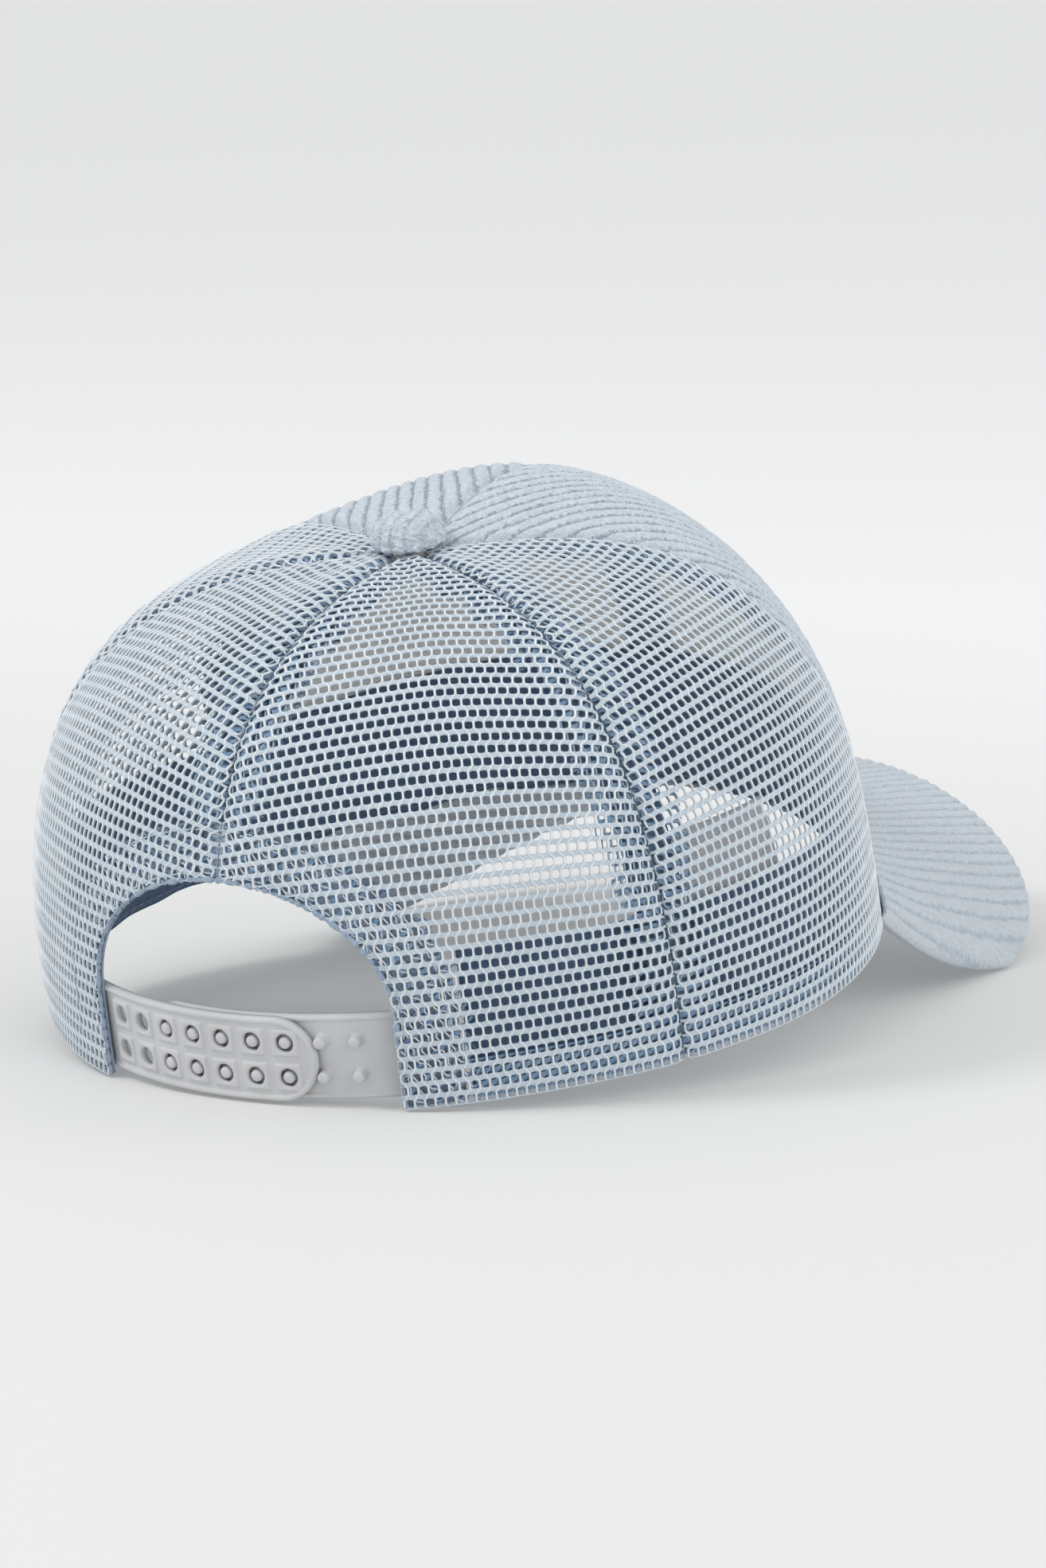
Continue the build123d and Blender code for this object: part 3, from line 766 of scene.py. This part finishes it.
# ---------------------------------------------------------------- corduroy
def clumps(u, v, size, seed):
    """Smooth random bumps of about this size, between -1 and 1."""
    table = np.random.default_rng(seed).uniform(-1, 1, (256, 256))
    column, row = u / size, v / size
    left, low = np.floor(column).astype(int), np.floor(row).astype(int)
    across, up = column - left, row - low
    across, up = across * across * (3 - 2 * across), up * up * (3 - 2 * up)
    corners = [table[(low + dy) % 256, (left + dx) % 256] for dy in (0, 1) for dx in (0, 1)]
    bottom = corners[0] * (1 - across) + corners[1] * across
    top = corners[2] * (1 - across) + corners[3] * across
    return bottom * (1 - up) + top * up


def pile(u, v):
    """Height of the corduroy: broad round wales, narrow grooves and tufted pile."""
    wander = 0.25 * MM * np.sin(v / (9 * MM) + u / (7 * MM)) + 0.22 * MM * clumps(u, v, 2.5 * MM, 3)
    rib = np.abs(np.sin(math.pi * (u + wander) / WALE_PITCH)) ** 0.6
    tufts = 0.15 * clumps(u, v, 0.9 * MM, 5) + 0.13 * clumps(u, v, 0.5 * MM, 8)
    return WALE_HEIGHT * (rib + tufts * (0.4 + 0.6 * rib)), u + wander


def front_panel(side):
    gore = GORES[f"front_{side}"]
    start, end = sorted((gore.middle - gore.half, gore.middle + gore.half))
    azimuth, elevation = crown_grid(start, end, 0.0, near_apex(4.0 * MM), *FRONT_GRID, 0.1 * MM)
    u, v = gore.across(azimuth, elevation)
    to_seam = gore.to_seam(azimuth, elevation)
    seam = np.exp(-(to_seam / (1.7 * MM)) ** 2)
    height, across = pile(u, v)
    inset = PILE_BASE - height * (1 - 0.5 * seam) + 1.5 * MM * seam
    outer = crown_point(azimuth, elevation, inset)
    inner = crown_point(azimuth, elevation, 1.3 * MM + 1.0 * MM * seam)
    uv = np.stack([across, v], -1)
    piece = slab(f"front_panel_{side}_cord", outer, inner, uv, [MATERIALS["corduroy"]])
    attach(piece, "crown")
    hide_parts(f"front_panel_{side}")
    wide, tall, area = gore.flat_size()


# ---------------------------------------------------------------- brim
def brim_surface(side, reach):
    """Points of the brim's mid surface in the crown's frame."""
    side, reach = np.broadcast_arrays(side, reach)
    azimuth = LIFT_HALF_ANGLE * side
    lift = rim_lift(azimuth)
    wall = crown_point(azimuth, elevation_at(lift), -BRIM_CROWN_GAP + 0 * azimuth)
    seam = np.stack([wall[..., 0], wall[..., 1], lift + BRIM_SEAM_RISE], -1)
    turn = math.pi / 2 * side
    edge = np.stack([
        BRIM_HALF_WIDTH * np.sin(turn),
        -BRIM_CORNER_REACH - BRIM_ROUND * np.cos(turn),
        -BRIM_FRONT_DROP - BRIM_CORNER_DROP * np.sin(turn) ** 2,
    ], -1)
    points = seam + (edge - seam) * reach[..., None]
    droop = BRIM_DROOP * side**4 * reach * (1 - reach)
    points[..., 2] += (edge[..., 2] - seam[..., 2]) * droop
    return points


def spaced_to_edge(count):
    """Steps from 0 to 1 that grow fine towards the end, where the cloth rolls over the edge."""
    return 1 - (1 - np.linspace(0, 1, count)) ** 1.5


def brim_cover(name, node, face):
    """Cloth on one face of the board, 1 over it and -1 under it, with wales from the crown to the edge."""
    rows, columns = BRIM_GRID
    half = spaced_to_edge(columns // 2)
    side = np.concatenate([-half[:0:-1], half])[None, :] + np.zeros((rows, 1))
    length = np.linalg.norm(brim_surface(side, 1.0 + 0 * side) - brim_surface(side, 0 * side), axis=-1)
    inside = -(BRIM_CROWN_GAP + BRIM_TUCK) / length
    reach = inside + (1 - inside) * spaced_to_edge(rows)[:, None]
    normal = -normals_of(brim_surface, np.clip(side, -0.997, 0.997), reach)
    middle = brim_surface(side, reach)
    slope = 2 * BRIM_CORNER_DROP * middle[..., 0] / BRIM_HALF_WIDTH**2
    u = middle[..., 0] * (1 + slope**2 / 6)
    height, across = pile(u, middle[..., 1])
    to_edge = np.minimum((1 - reach) * length, (1 - np.abs(side)) * BRIM_ROUND * 0.9)
    near = np.clip(1 - to_edge / (2.2 * MM), 0, 1)
    rolled = np.sqrt(np.clip(1 - near**2, 0, 1))
    thick = BOARD_HALF + (COVER_FACE - BOARD_HALF - WALE_HEIGHT + height) * (0.25 + 0.75 * rolled)
    outer = middle + normal * (face * thick * rolled)[..., None]
    inner = middle + normal * (face * BOARD_HALF * rolled * 0.98)[..., None]
    uv = np.stack([across, middle[..., 1]], -1)
    if face < 0:
        outer, inner, uv = outer[:, ::-1], inner[:, ::-1], uv[:, ::-1]
    piece = slab(name, outer, inner, uv, [MATERIALS["brim_corduroy"]])
    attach(piece, "crown")
    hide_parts(node)


# ---------------------------------------------------------------- linings
def lining(piece, node, with_pieces=()):
    """What all the cloth inside the crown has in common."""
    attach(piece, "crown")
    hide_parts(node)


def front_backing(side, sign):
    gore = GORES[f"front_{side}"]
    start, end = sorted((0, sign * FRONT_SEAM))
    piece = crown_slab(f"front_backing_{side}_buckram", start, end, 1 * MM, near_apex(10 * MM), BACKING_DEPTH,
                       LINING_THICKNESS, 60, 60, MATERIALS["buckram"], 2.0 * MM)
    wide, tall, area = gore.flat_size()
    lining(piece, f"front_backing_{side}")


def seam_tape(node, azimuth, inset, low=1 * MM):
    piece = crown_slab(f"{node}_twill", azimuth, azimuth, low, near_apex(SEAM_END), inset,
                       LINING_THICKNESS, 110, 13, MATERIALS["tape"], -TAPE_WIDTH / 2)
    bottom = elevation_at(rim_lift(azimuth) + low)
    rise = np.linspace(bottom, near_apex(SEAM_END)(azimuth), 100)
    lining(piece, node)


def build_linings():
    for side, sign in (("left", 1), ("right", -1)):
        front_backing(side, sign)
        seam_tape(f"front_seam_tape_{side}", sign * FRONT_SEAM, FRONT_TAPE_DEPTH)
        seam_tape(f"side_seam_tape_{side}", sign * BACK_SEAM, SIDE_TAPE_DEPTH)
    seam_tape("centre_front_tape", 0.0, FRONT_TAPE_DEPTH)
    seam_tape("centre_back_tape", math.pi, SIDE_TAPE_DEPTH, ARCH_SPRING + ARCH_RISE + BINDING_WIDTH)


def back_angles(x, z):
    """Azimuth and elevation where the back of the crown has this x and z."""
    azimuth = math.pi - np.arcsin(np.clip(x / HALF_WIDTH, -0.95, 0.95))
    for _ in range(12):
        power = roundness(np.cos(azimuth))
        share = np.clip(z / CROWN_HEIGHT, 1e-3, 0.999)
        elevation = np.arctan((share**-power - 1) ** (-1 / power))
        surface = crown_surface(azimuth, elevation)
        azimuth = azimuth + np.clip(surface[..., 0] - x, -0.02, 0.02) / HALF_WIDTH
    return azimuth, elevation


def arch_outline(count, growth):
    """x and z round the arch, grown by a distance, from the rim at the wearer's left to the right."""
    half, rise = ARCH_HALF_WIDTH + growth, ARCH_RISE + growth
    leg = np.linspace(0.5 * MM, ARCH_SPRING, count // 5)
    turn = np.linspace(0, math.pi, count)[1:-1]
    x = np.concatenate([half + 0 * leg, half * np.cos(turn), -half + 0 * leg])
    z = np.concatenate([leg, ARCH_SPRING + rise * np.sin(turn), leg[::-1]])
    return x, z


def arch_grid(count, growths, inset):
    """Points round the arch under the crown's surface, one column for each growth."""
    columns = []
    for growth, depth in zip(growths, inset):
        azimuth, elevation = back_angles(*arch_outline(count, growth))
        columns.append(crown_point(azimuth, elevation, depth + 0 * azimuth))
    return np.stack(columns, 1)


def arch_binding():
    """Tape inside the arch, behind the doubled mesh."""
    growths = np.linspace(0.3, BINDING_WIDTH / MM, 14) * MM
    outer, inner = (arch_grid(120, growths, depth + 0 * growths) for depth in BINDING_FACES)
    # the grid's columns run outwards from the arch, so the two faces swap to keep their right sides out
    piece = slab("arch_binding_twill", inner, outer, arc_lengths(outer), [MATERIALS["binding"]])
    lining(piece, "arch_binding",
           with_pieces=[arch_edge()])


def arch_edge():
    """Rolled edge of the mesh round the arch, lumpy where its threads are turned in."""
    azimuth, elevation = back_angles(*arch_outline(700, 0.35 * MM))
    count = len(azimuth)
    middle = crown_point(azimuth, elevation, 0.75 * MM + 0 * azimuth)
    normal = normals_of(crown_surface, azimuth, elevation)
    along = np.gradient(middle, axis=0)
    across = np.cross(along / np.linalg.norm(along, axis=1, keepdims=True), normal)
    turns = np.arange(8) * math.pi / 4
    steps = np.cumsum(np.linalg.norm(along, axis=1))
    radius = 0.48 * MM * (1 + 0.6 * clumps(steps, 0 * steps, 0.8 * MM, 21))[:, None, None]
    ring = across[:, None] * np.cos(turns)[:, None] + 1.2 * normal[:, None] * np.sin(turns)[:, None]
    points = middle[:, None] + ring * radius
    index = np.arange(count * 8).reshape(count, 8)
    sides = tube_faces(index).reshape(-1, 4)
    caps = np.stack([index[0, ::-1], index[-1]])
    uv = np.stack([np.repeat(steps, 8), np.tile(turns * 0.5 * MM, count)], -1)
    piece = make_piece("arch_edge", points.reshape(-1, 3), [sides, caps], uv, [MATERIALS["binding"]])
    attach(piece, "crown")
    return piece


def sweatband():
    """Folded band round the rim, with stitching along both edges and slack between its stitches."""
    top = over_rim(SWEATBAND_HEIGHT)
    azimuth, elevation = crown_grid(-SWEATBAND_END, SWEATBAND_END, 1.2 * MM, top, *SWEATBAND_GRID)
    share = np.linspace(0, 1, SWEATBAND_GRID[0])[:, None] + 0 * azimuth
    waves = 0.8 * MM * clumps(azimuth * HALF_WIDTH, 0 * azimuth, 9 * MM, 13)
    elevation = elevation + waves * (1 - share) ** 3 / CROWN_HEIGHT
    slack = np.sin(math.pi * share) ** 0.6
    crease = 0.25 * MM * clumps(azimuth * HALF_WIDTH, share * 20 * MM, 9 * MM, 11)
    rounded = 0.5 * MM * (np.abs(2 * share - 1) ** 10)
    outer = crown_point(azimuth, elevation, 3.2 * MM + rounded)
    inner = crown_point(azimuth, elevation, 4.2 * MM + 0.6 * MM * slack + crease * slack - rounded)
    piece = slab("sweatband_twill", outer, inner, arc_lengths(outer), [MATERIALS["sweatband"]])
    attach(piece, "crown")
    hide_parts("sweatband")


def stitch_row(name, places, inset, length=2.2 * MM, gap=0.9 * MM, radius=0.22 * MM, colour="stitch"):
    """Row of short rounded stitches along azimuths and elevations, at a depth under the crown."""
    azimuth, elevation = places
    line = crown_point(azimuth, elevation, inset + 0 * azimuth)
    normal = normals_of(crown_surface, azimuth, elevation)
    steps = np.concatenate([[0], np.cumsum(np.linalg.norm(np.diff(line, axis=0), axis=1))])
    starts = np.arange(0, steps[-1] - length, length + gap)
    shares = np.array([0.0, 0.2, 0.5, 0.8, 1.0])
    swell = np.array([0.25, 0.85, 1.0, 0.85, 0.25])
    turns = np.arange(6) * math.pi / 3
    at = (starts[:, None] + shares * length)
    middle = np.stack([np.interp(at, steps, line[:, k]) for k in range(3)], -1)
    up = np.stack([np.interp(at, steps, normal[:, k]) for k in range(3)], -1)
    along = middle[:, -1:] - middle[:, :1]
    along = along / np.linalg.norm(along, axis=-1, keepdims=True)
    across = np.cross(along + 0 * up, up)
    ring = (across[:, :, None] * np.cos(turns)[:, None] + up[:, :, None] * np.sin(turns)[:, None] * 0.7)
    points = middle[:, :, None] + ring * radius * swell[None, :, None, None]
    index = np.arange(points[..., 0].size).reshape(points.shape[:3])
    sides = tube_faces(index).reshape(-1, 4)
    caps = np.concatenate([index[:, 0, ::-1], index[:, -1]])
    piece = make_piece(name, points.reshape(-1, 3), [sides, caps], None, [MATERIALS[colour]])
    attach(piece, "crown")


def build_stitching():
    azimuth = np.linspace(-SWEATBAND_END, SWEATBAND_END, 900)
    for name, height in (("low", 3.0), ("high", 28.6)):
        places = azimuth, elevation_at(rim_lift(azimuth) + height * MM)
        stitch_row(f"sweatband_stitches_{name}", places, 4.75 * MM, colour="dark_stitch")
    for name, growth in (("edge", 1.6), ("inner", BINDING_WIDTH / MM - 1.6)):
        places = back_angles(*arch_outline(400, growth * MM))
        stitch_row(f"arch_stitches_{name}", places, 0.15 * MM, radius=0.16 * MM)
    for side, sign in (("left", 1), ("right", -1)):
        for name, azimuth, inset in (("front", FRONT_SEAM, 2.8), ("side", BACK_SEAM, 2.6)):
            elevation = np.radians(np.linspace(4, 80, 300))
            for edge, shift in (("near", -4.2), ("far", 4.2)):
                radius = from_axis(crown_surface(sign * azimuth + 0 * elevation, elevation))
                places = sign * azimuth + shift * MM / radius, elevation
                stitch_row(f"{name}_tape_stitches_{side}_{edge}", places, inset * MM)


def label(node, start, end, low, high):
    """Blank satin ribbon on the inside of the sweatband, its lower part curling away from it."""
    azimuth, elevation = crown_grid(start, end, low, over_rim(high), *LABEL_GRID)
    share = np.linspace(0, 1, LABEL_GRID[0])[:, None] + 0 * azimuth
    curl = 0.6 * MM * (1 - share) ** 2
    outer = crown_point(azimuth, elevation, 5.0 * MM + curl)
    inner = crown_point(azimuth, elevation, 5.3 * MM + curl)
    piece = slab(f"{node}_satin", outer, inner, arc_lengths(outer), [MATERIALS["label"]])
    lining(piece, node)


def build_labels():
    label("care_label", math.radians(-112), math.radians(-94), 22 * MM, 44 * MM)
    label("size_label", math.radians(132), math.radians(141), 14 * MM, 28 * MM)


# ---------------------------------------------------------------- button
def revolved(profile, turns):
    """Points and faces of a profile of (radius, height) pairs turned about Z."""
    angles = np.linspace(0, 2 * math.pi, turns, endpoint=False)
    radius, height = np.array(profile).T
    ring = np.stack([
        radius[:, None] * np.cos(angles),
        radius[:, None] * np.sin(angles),
        height[:, None] + 0 * angles,
    ], -1)
    index = np.arange(len(radius) * turns).reshape(-1, turns)
    return ring, tube_faces(index).reshape(-1, 4)


def button():
    """Cloth-covered button: a puffy dome whose cloth tucks in under it."""
    turn = np.concatenate([np.linspace(-0.5, 0, 14), np.linspace(0, math.pi / 2, 76)[1:]])
    radius = BUTTON_RADIUS * np.cos(turn) ** 0.75
    height = np.where(turn > 0, BUTTON_HEIGHT * np.sin(turn) ** 0.9, 2.2 * MM * np.sin(turn))
    points, faces = revolved(np.stack([radius, height], -1), 220)
    x, y = points[..., 0], points[..., 1]
    slope = np.clip(turn / (math.pi / 2), 0, 1)[:, None]
    rib, across = pile(x + 0.4 * MM, y + points[..., 2])
    tufts = clumps(x, y + points[..., 2], 1.2 * MM, 31)
    fibres = clumps(x, y - points[..., 2], 0.5 * MM, 32)
    fluff = 0.28 * tufts + 0.30 * fibres
    folds = 0.35 * MM * np.sin(13 * np.arctan2(y, x) + 1.5) * np.exp(-((slope - 0.05) / 0.2) ** 2)
    outward = points - np.array([0, 0, -1 * MM])
    outward = outward / np.linalg.norm(outward, axis=-1, keepdims=True)
    points = points + outward * (0.5 * (rib - WALE_HEIGHT) + fluff * MM - 0.55 * MM + folds)[..., None]
    points = points + np.array([0, APEX_SHIFT, CROWN_HEIGHT + BUTTON_LIFT])
    uv = np.stack([across, y], -1).reshape(-1, 2)
    piece = make_piece("button_cord", points.reshape(-1, 3), [faces], uv, [MATERIALS["button_corduroy"]])
    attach(piece, "crown")
    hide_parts("button_cloth")


# ---------------------------------------------------------------- snap strap
def strap_points(radius, along, height, out):
    """Points on the arc that a strap follows; along is measured on the outer strap's face."""
    angle = math.asin(ARCH_HALF_WIDTH / OUTER_STRAP_RADIUS) - along / OUTER_STRAP_RADIUS
    reach = radius + out
    return np.stack([reach * np.sin(angle), STRAP_CENTRE_Y + reach * np.cos(angle), height + 0 * angle], -1)


def snap_centres(columns):
    middle = STRAP_BOTTOM + STRAP_HEIGHT / 2
    return [(FIRST_HOLE + c * PITCH, middle + s * PITCH / 2) for c in columns for s in (-1, 1)]


def ease(value):
    value = np.clip(value, 0, 1)
    return value * value * (3 - 2 * value)


def strap_depth(along, height, tip, root):
    """Distance from a place on a strap in to its outline, and the way in: round at tip, square at root."""
    half = STRAP_HEIGHT / 2
    sign = np.sign(root - tip)
    centre = tip + sign * half
    up = height - STRAP_BOTTOM - half
    beyond = np.clip(sign * (centre - along), 0, None)
    reach = np.hypot(beyond, up)
    away = np.stack([-sign * beyond, up], -1) / np.clip(reach, 1e-9, None)[..., None]
    depth = np.minimum(half - reach, sign * (root - along))
    return depth, away, half - reach


def snap_to_circle(flat, centre, radius, cell):
    """Moves grid points near a circle onto it, so that a hole cut in the grid has a clean edge."""
    arm = flat - np.array(centre)
    reach = np.linalg.norm(arm, axis=-1, keepdims=True)
    near = np.abs(reach - radius) < 0.6 * cell
    return np.where(near, np.array(centre) + arm / np.clip(reach, 1e-9, None) * radius, flat)


def with_walls(faces, count):
    """Adds the reversed inner copy of a sheet's faces, and walls along its free edges."""
    edges = np.concatenate([faces[:, [k, (k + 1) % 4]] for k in range(4)])
    keys = np.sort(edges, axis=1)
    _, first, repeats = np.unique(keys, axis=0, return_index=True, return_counts=True)
    free = edges[first[repeats == 1]]
    walls = np.stack([free[:, 1], free[:, 0], free[:, 0] + count, free[:, 1] + count], -1)
    return np.concatenate([faces, faces[:, ::-1] + count, walls])


def strap_relief(flat, tip, root, centres):
    """How far the strap's face stands proud: the bead along its edge and the pad round each snap."""
    depth, _, _ = strap_depth(flat[..., 0], flat[..., 1], tip, root)
    bead = ease(depth / (0.5 * MM)) * (1 - ease((depth - 1.0 * MM) / (0.6 * MM)))
    raised = bead * RAISED
    worn = np.full(flat.shape[:2], 1.0)
    for centre in centres:
        offset = np.abs(flat - np.array(centre))
        off_pad = np.maximum(offset[..., 0], offset[..., 1]) - PAD_WIDTH / 2
        raised = np.maximum(raised, RAISED * (1 - ease(off_pad / (0.35 * MM) + 0.5)))
        worn = np.minimum(worn, ease((np.linalg.norm(offset, axis=-1) - HOLE_RADIUS) / (0.35 * MM)))
    return raised - 0.25 * MM * (1 - worn) - 0.25 * MM * (1 - ease(depth / (0.35 * MM)))


def strap_sheet(radius, tip, root, holes, pads):
    """A strap as a fine grid, cut to its outline and holes, with its relief, then bent round the back."""
    cell = STRAP_CELL
    low, high = sorted((tip, root))
    columns = int(round((high - low) / cell)) + 1
    rows = int(round(STRAP_HEIGHT / cell)) + 1
    along, height = np.meshgrid(
        np.linspace(low, high, columns), STRAP_BOTTOM + np.linspace(0, STRAP_HEIGHT, rows), indexing="xy")
    flat = np.stack([along, height], -1)
    _, away, from_round = strap_depth(along, height, tip, root)
    near = (np.abs(from_round) < 0.7 * cell)[..., None]
    flat = np.where(near, flat + away * from_round[..., None], flat)
    for centre in holes:
        flat = snap_to_circle(flat, centre, HOLE_RADIUS, cell)
    index = np.arange(rows * columns).reshape(rows, columns)
    quads = np.stack([index[:-1, :-1], index[1:, :-1], index[1:, 1:], index[:-1, 1:]], -1).reshape(-1, 4)
    spots = flat.reshape(-1, 2)
    middles = spots[quads].mean(axis=1)
    kept = strap_depth(middles[:, 0], middles[:, 1], tip, root)[0] > 0
    for centre in holes:
        kept &= np.linalg.norm(middles - np.array(centre), axis=1) > HOLE_RADIUS * 0.985
    relief = strap_relief(flat, tip, root, pads)
    outer = strap_points(radius, flat[..., 0], flat[..., 1], relief).reshape(-1, 3)
    inner = strap_points(radius - STRAP_THICKNESS, flat[..., 0], flat[..., 1], 0).reshape(-1, 3)
    faces = with_walls(quads[kept], rows * columns)
    points = np.concatenate([outer, inner])
    uv = np.concatenate([spots, spots])
    points, uv, (faces,) = keep_used(points, uv, [faces])
    return points, uv, faces


def peg_shape():
    """A peg with a flared foot, which starts inside the strap, and a rounded top."""
    foot = [(0.02, -0.4), (1.75, -0.4), (1.75, 0.0), (1.5, 0.15), (1.32, 0.4)]
    top = [(1.28, 1.9), (1.2, 2.25), (0.95, 2.5), (0.55, 2.62), (0.02, 2.66)]
    points, faces = revolved(np.array(foot + top) * MM, 28)
    return points.reshape(-1, 3), faces


def pegs(centres):
    """Round-topped pegs that stand on the inner strap."""
    shape, faces = peg_shape()
    sets = []
    spots = []
    for number, (along, height) in enumerate(centres):
        flat = np.stack([along + shape[:, 0], height + shape[:, 1]], -1)
        spots.append(strap_points(INNER_STRAP_RADIUS, flat[:, 0], flat[:, 1], shape[:, 2]))
        sets.append(faces + number * len(shape))
    return np.concatenate(spots), np.concatenate(sets)


def strap_piece(name, nodes, points, faces, uv):
    piece = make_piece(name, points, faces, uv, [MATERIALS["strap"]])
    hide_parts(*nodes)
    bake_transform(piece)


def build_straps():
    far_side = 2 * math.asin(ARCH_HALF_WIDTH / OUTER_STRAP_RADIUS) * OUTER_STRAP_RADIUS
    holes = snap_centres(range(HOLE_COLUMNS))
    tip = FIRST_HOLE + (HOLE_COLUMNS - 1) * PITCH + STRAP_TIP
    points, uv, faces = strap_sheet(OUTER_STRAP_RADIUS, tip, -TAB_COVERED, holes, holes)
    strap_piece("hole_strap_moulded", ["hole_strap", "hole_strap_tab"], points, [faces], uv)
    snaps = snap_centres(PEG_COLUMNS)
    tip = FIRST_HOLE + PEG_COLUMNS[0] * PITCH - STRAP_TIP
    points, uv, faces = strap_sheet(INNER_STRAP_RADIUS, tip, far_side + TAB_COVERED, [], [])
    peg_points, peg_faces = pegs(snaps)
    uv = np.concatenate([uv, np.zeros((len(peg_points), 2))])
    peg_faces = peg_faces + len(points)
    points = np.concatenate([points, peg_points])
    strap_piece("peg_strap_moulded", ["peg_strap", "peg_strap_tab"], points,
                [faces, peg_faces], uv)


# ---------------------------------------------------------------- what stays as the CAD made it
def give_materials():
    """Materials for the CAD nodes that stay: the button's metal parts and the board in the brim."""
    finishes = {"button_shell": "metal", "button_rivet": "metal", "button_backplate": "metal",
                "brim_board": "board"}
    for node, finish in finishes.items():
        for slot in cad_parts[node].material_slots:
            slot.material = MATERIALS[finish]


# ---------------------------------------------------------------- light, floor and camera
def build_stage():
    """Pale table top that turns a little lighter behind the cap, as the photograph's backdrop does."""
    bpy.ops.mesh.primitive_plane_add(size=12, location=(0, 0, 0))
    floor = bpy.context.object
    floor.name = "floor"
    material, nodes, links = new_material("pale_floor")
    shader = nodes["Principled BSDF"]
    place = nodes.new("ShaderNodeTexCoord")
    parts = nodes.new("ShaderNodeSeparateXYZ")
    links.new(place.outputs["Object"], parts.inputs["Vector"])
    far = nodes.new("ShaderNodeMapRange")
    far.inputs["From Min"].default_value = FLOOR_TURN[0]
    far.inputs["From Max"].default_value = FLOOR_TURN[1]
    far.interpolation_type = "SMOOTHSTEP"
    links.new(parts.outputs["Y"], far.inputs["Value"])
    colour = ramp_between(nodes, links, far.outputs["Result"], FLOOR_NEAR, FLOOR_FAR, 0.0, 1.0)
    links.new(colour, shader.inputs["Base Color"])
    shader.inputs["Roughness"].default_value = 0.8
    shader.inputs["Specular IOR Level"].default_value = 0.1
    # painted glow: a faint white emission lifts the floor's shadows under the cap
    shader.inputs["Emission Color"].default_value = (1, 1, 1, 1)
    shader.inputs["Emission Strength"].default_value = 0.15
    floor.data.materials.append(material)


def build_camera():
    lens = bpy.data.cameras.new("camera")
    lens.sensor_width = 36.0
    lens.lens = CAMERA_LENS
    camera = bpy.data.objects.new("camera", lens)
    bpy.context.collection.objects.link(camera)
    camera.location = CAMERA_PLACE
    camera.rotation_euler = [math.radians(angle) for angle in CAMERA_TURN]
    bpy.context.scene.camera = camera


def add_light(name, location, target, size, power):
    data = bpy.data.lights.new(name, "AREA")
    data.shape = "DISK"
    data.size = size
    data.energy = power
    lamp = bpy.data.objects.new(name, data)
    bpy.context.collection.objects.link(lamp)
    lamp.location = location
    lamp.rotation_euler = (Vector(target) - Vector(location)).to_track_quat("-Z", "Y").to_euler()


def build_lights():
    world = bpy.data.worlds.new("studio")
    bpy.context.scene.world = world
    world.use_nodes = True
    background = world.node_tree.nodes["Background"]
    background.inputs["Color"].default_value = (*SKY, 1)
    background.inputs["Strength"].default_value = SKY_STRENGTH
    bpy.context.scene.view_settings.view_transform = "Standard"
    for light in LIGHTS:
        add_light(*light)


build_camera()
build_mesh_panels()
for cap_side in ("left", "right"):
    front_panel(cap_side)
brim_cover("brim_top_cord", "brim_top_cloth", 1)
brim_cover("brim_under_cord", "brim_under_cloth", -1)
build_linings()
arch_binding()
sweatband()
build_labels()
build_stitching()
button()
build_straps()
give_materials()
build_stage()
build_lights()
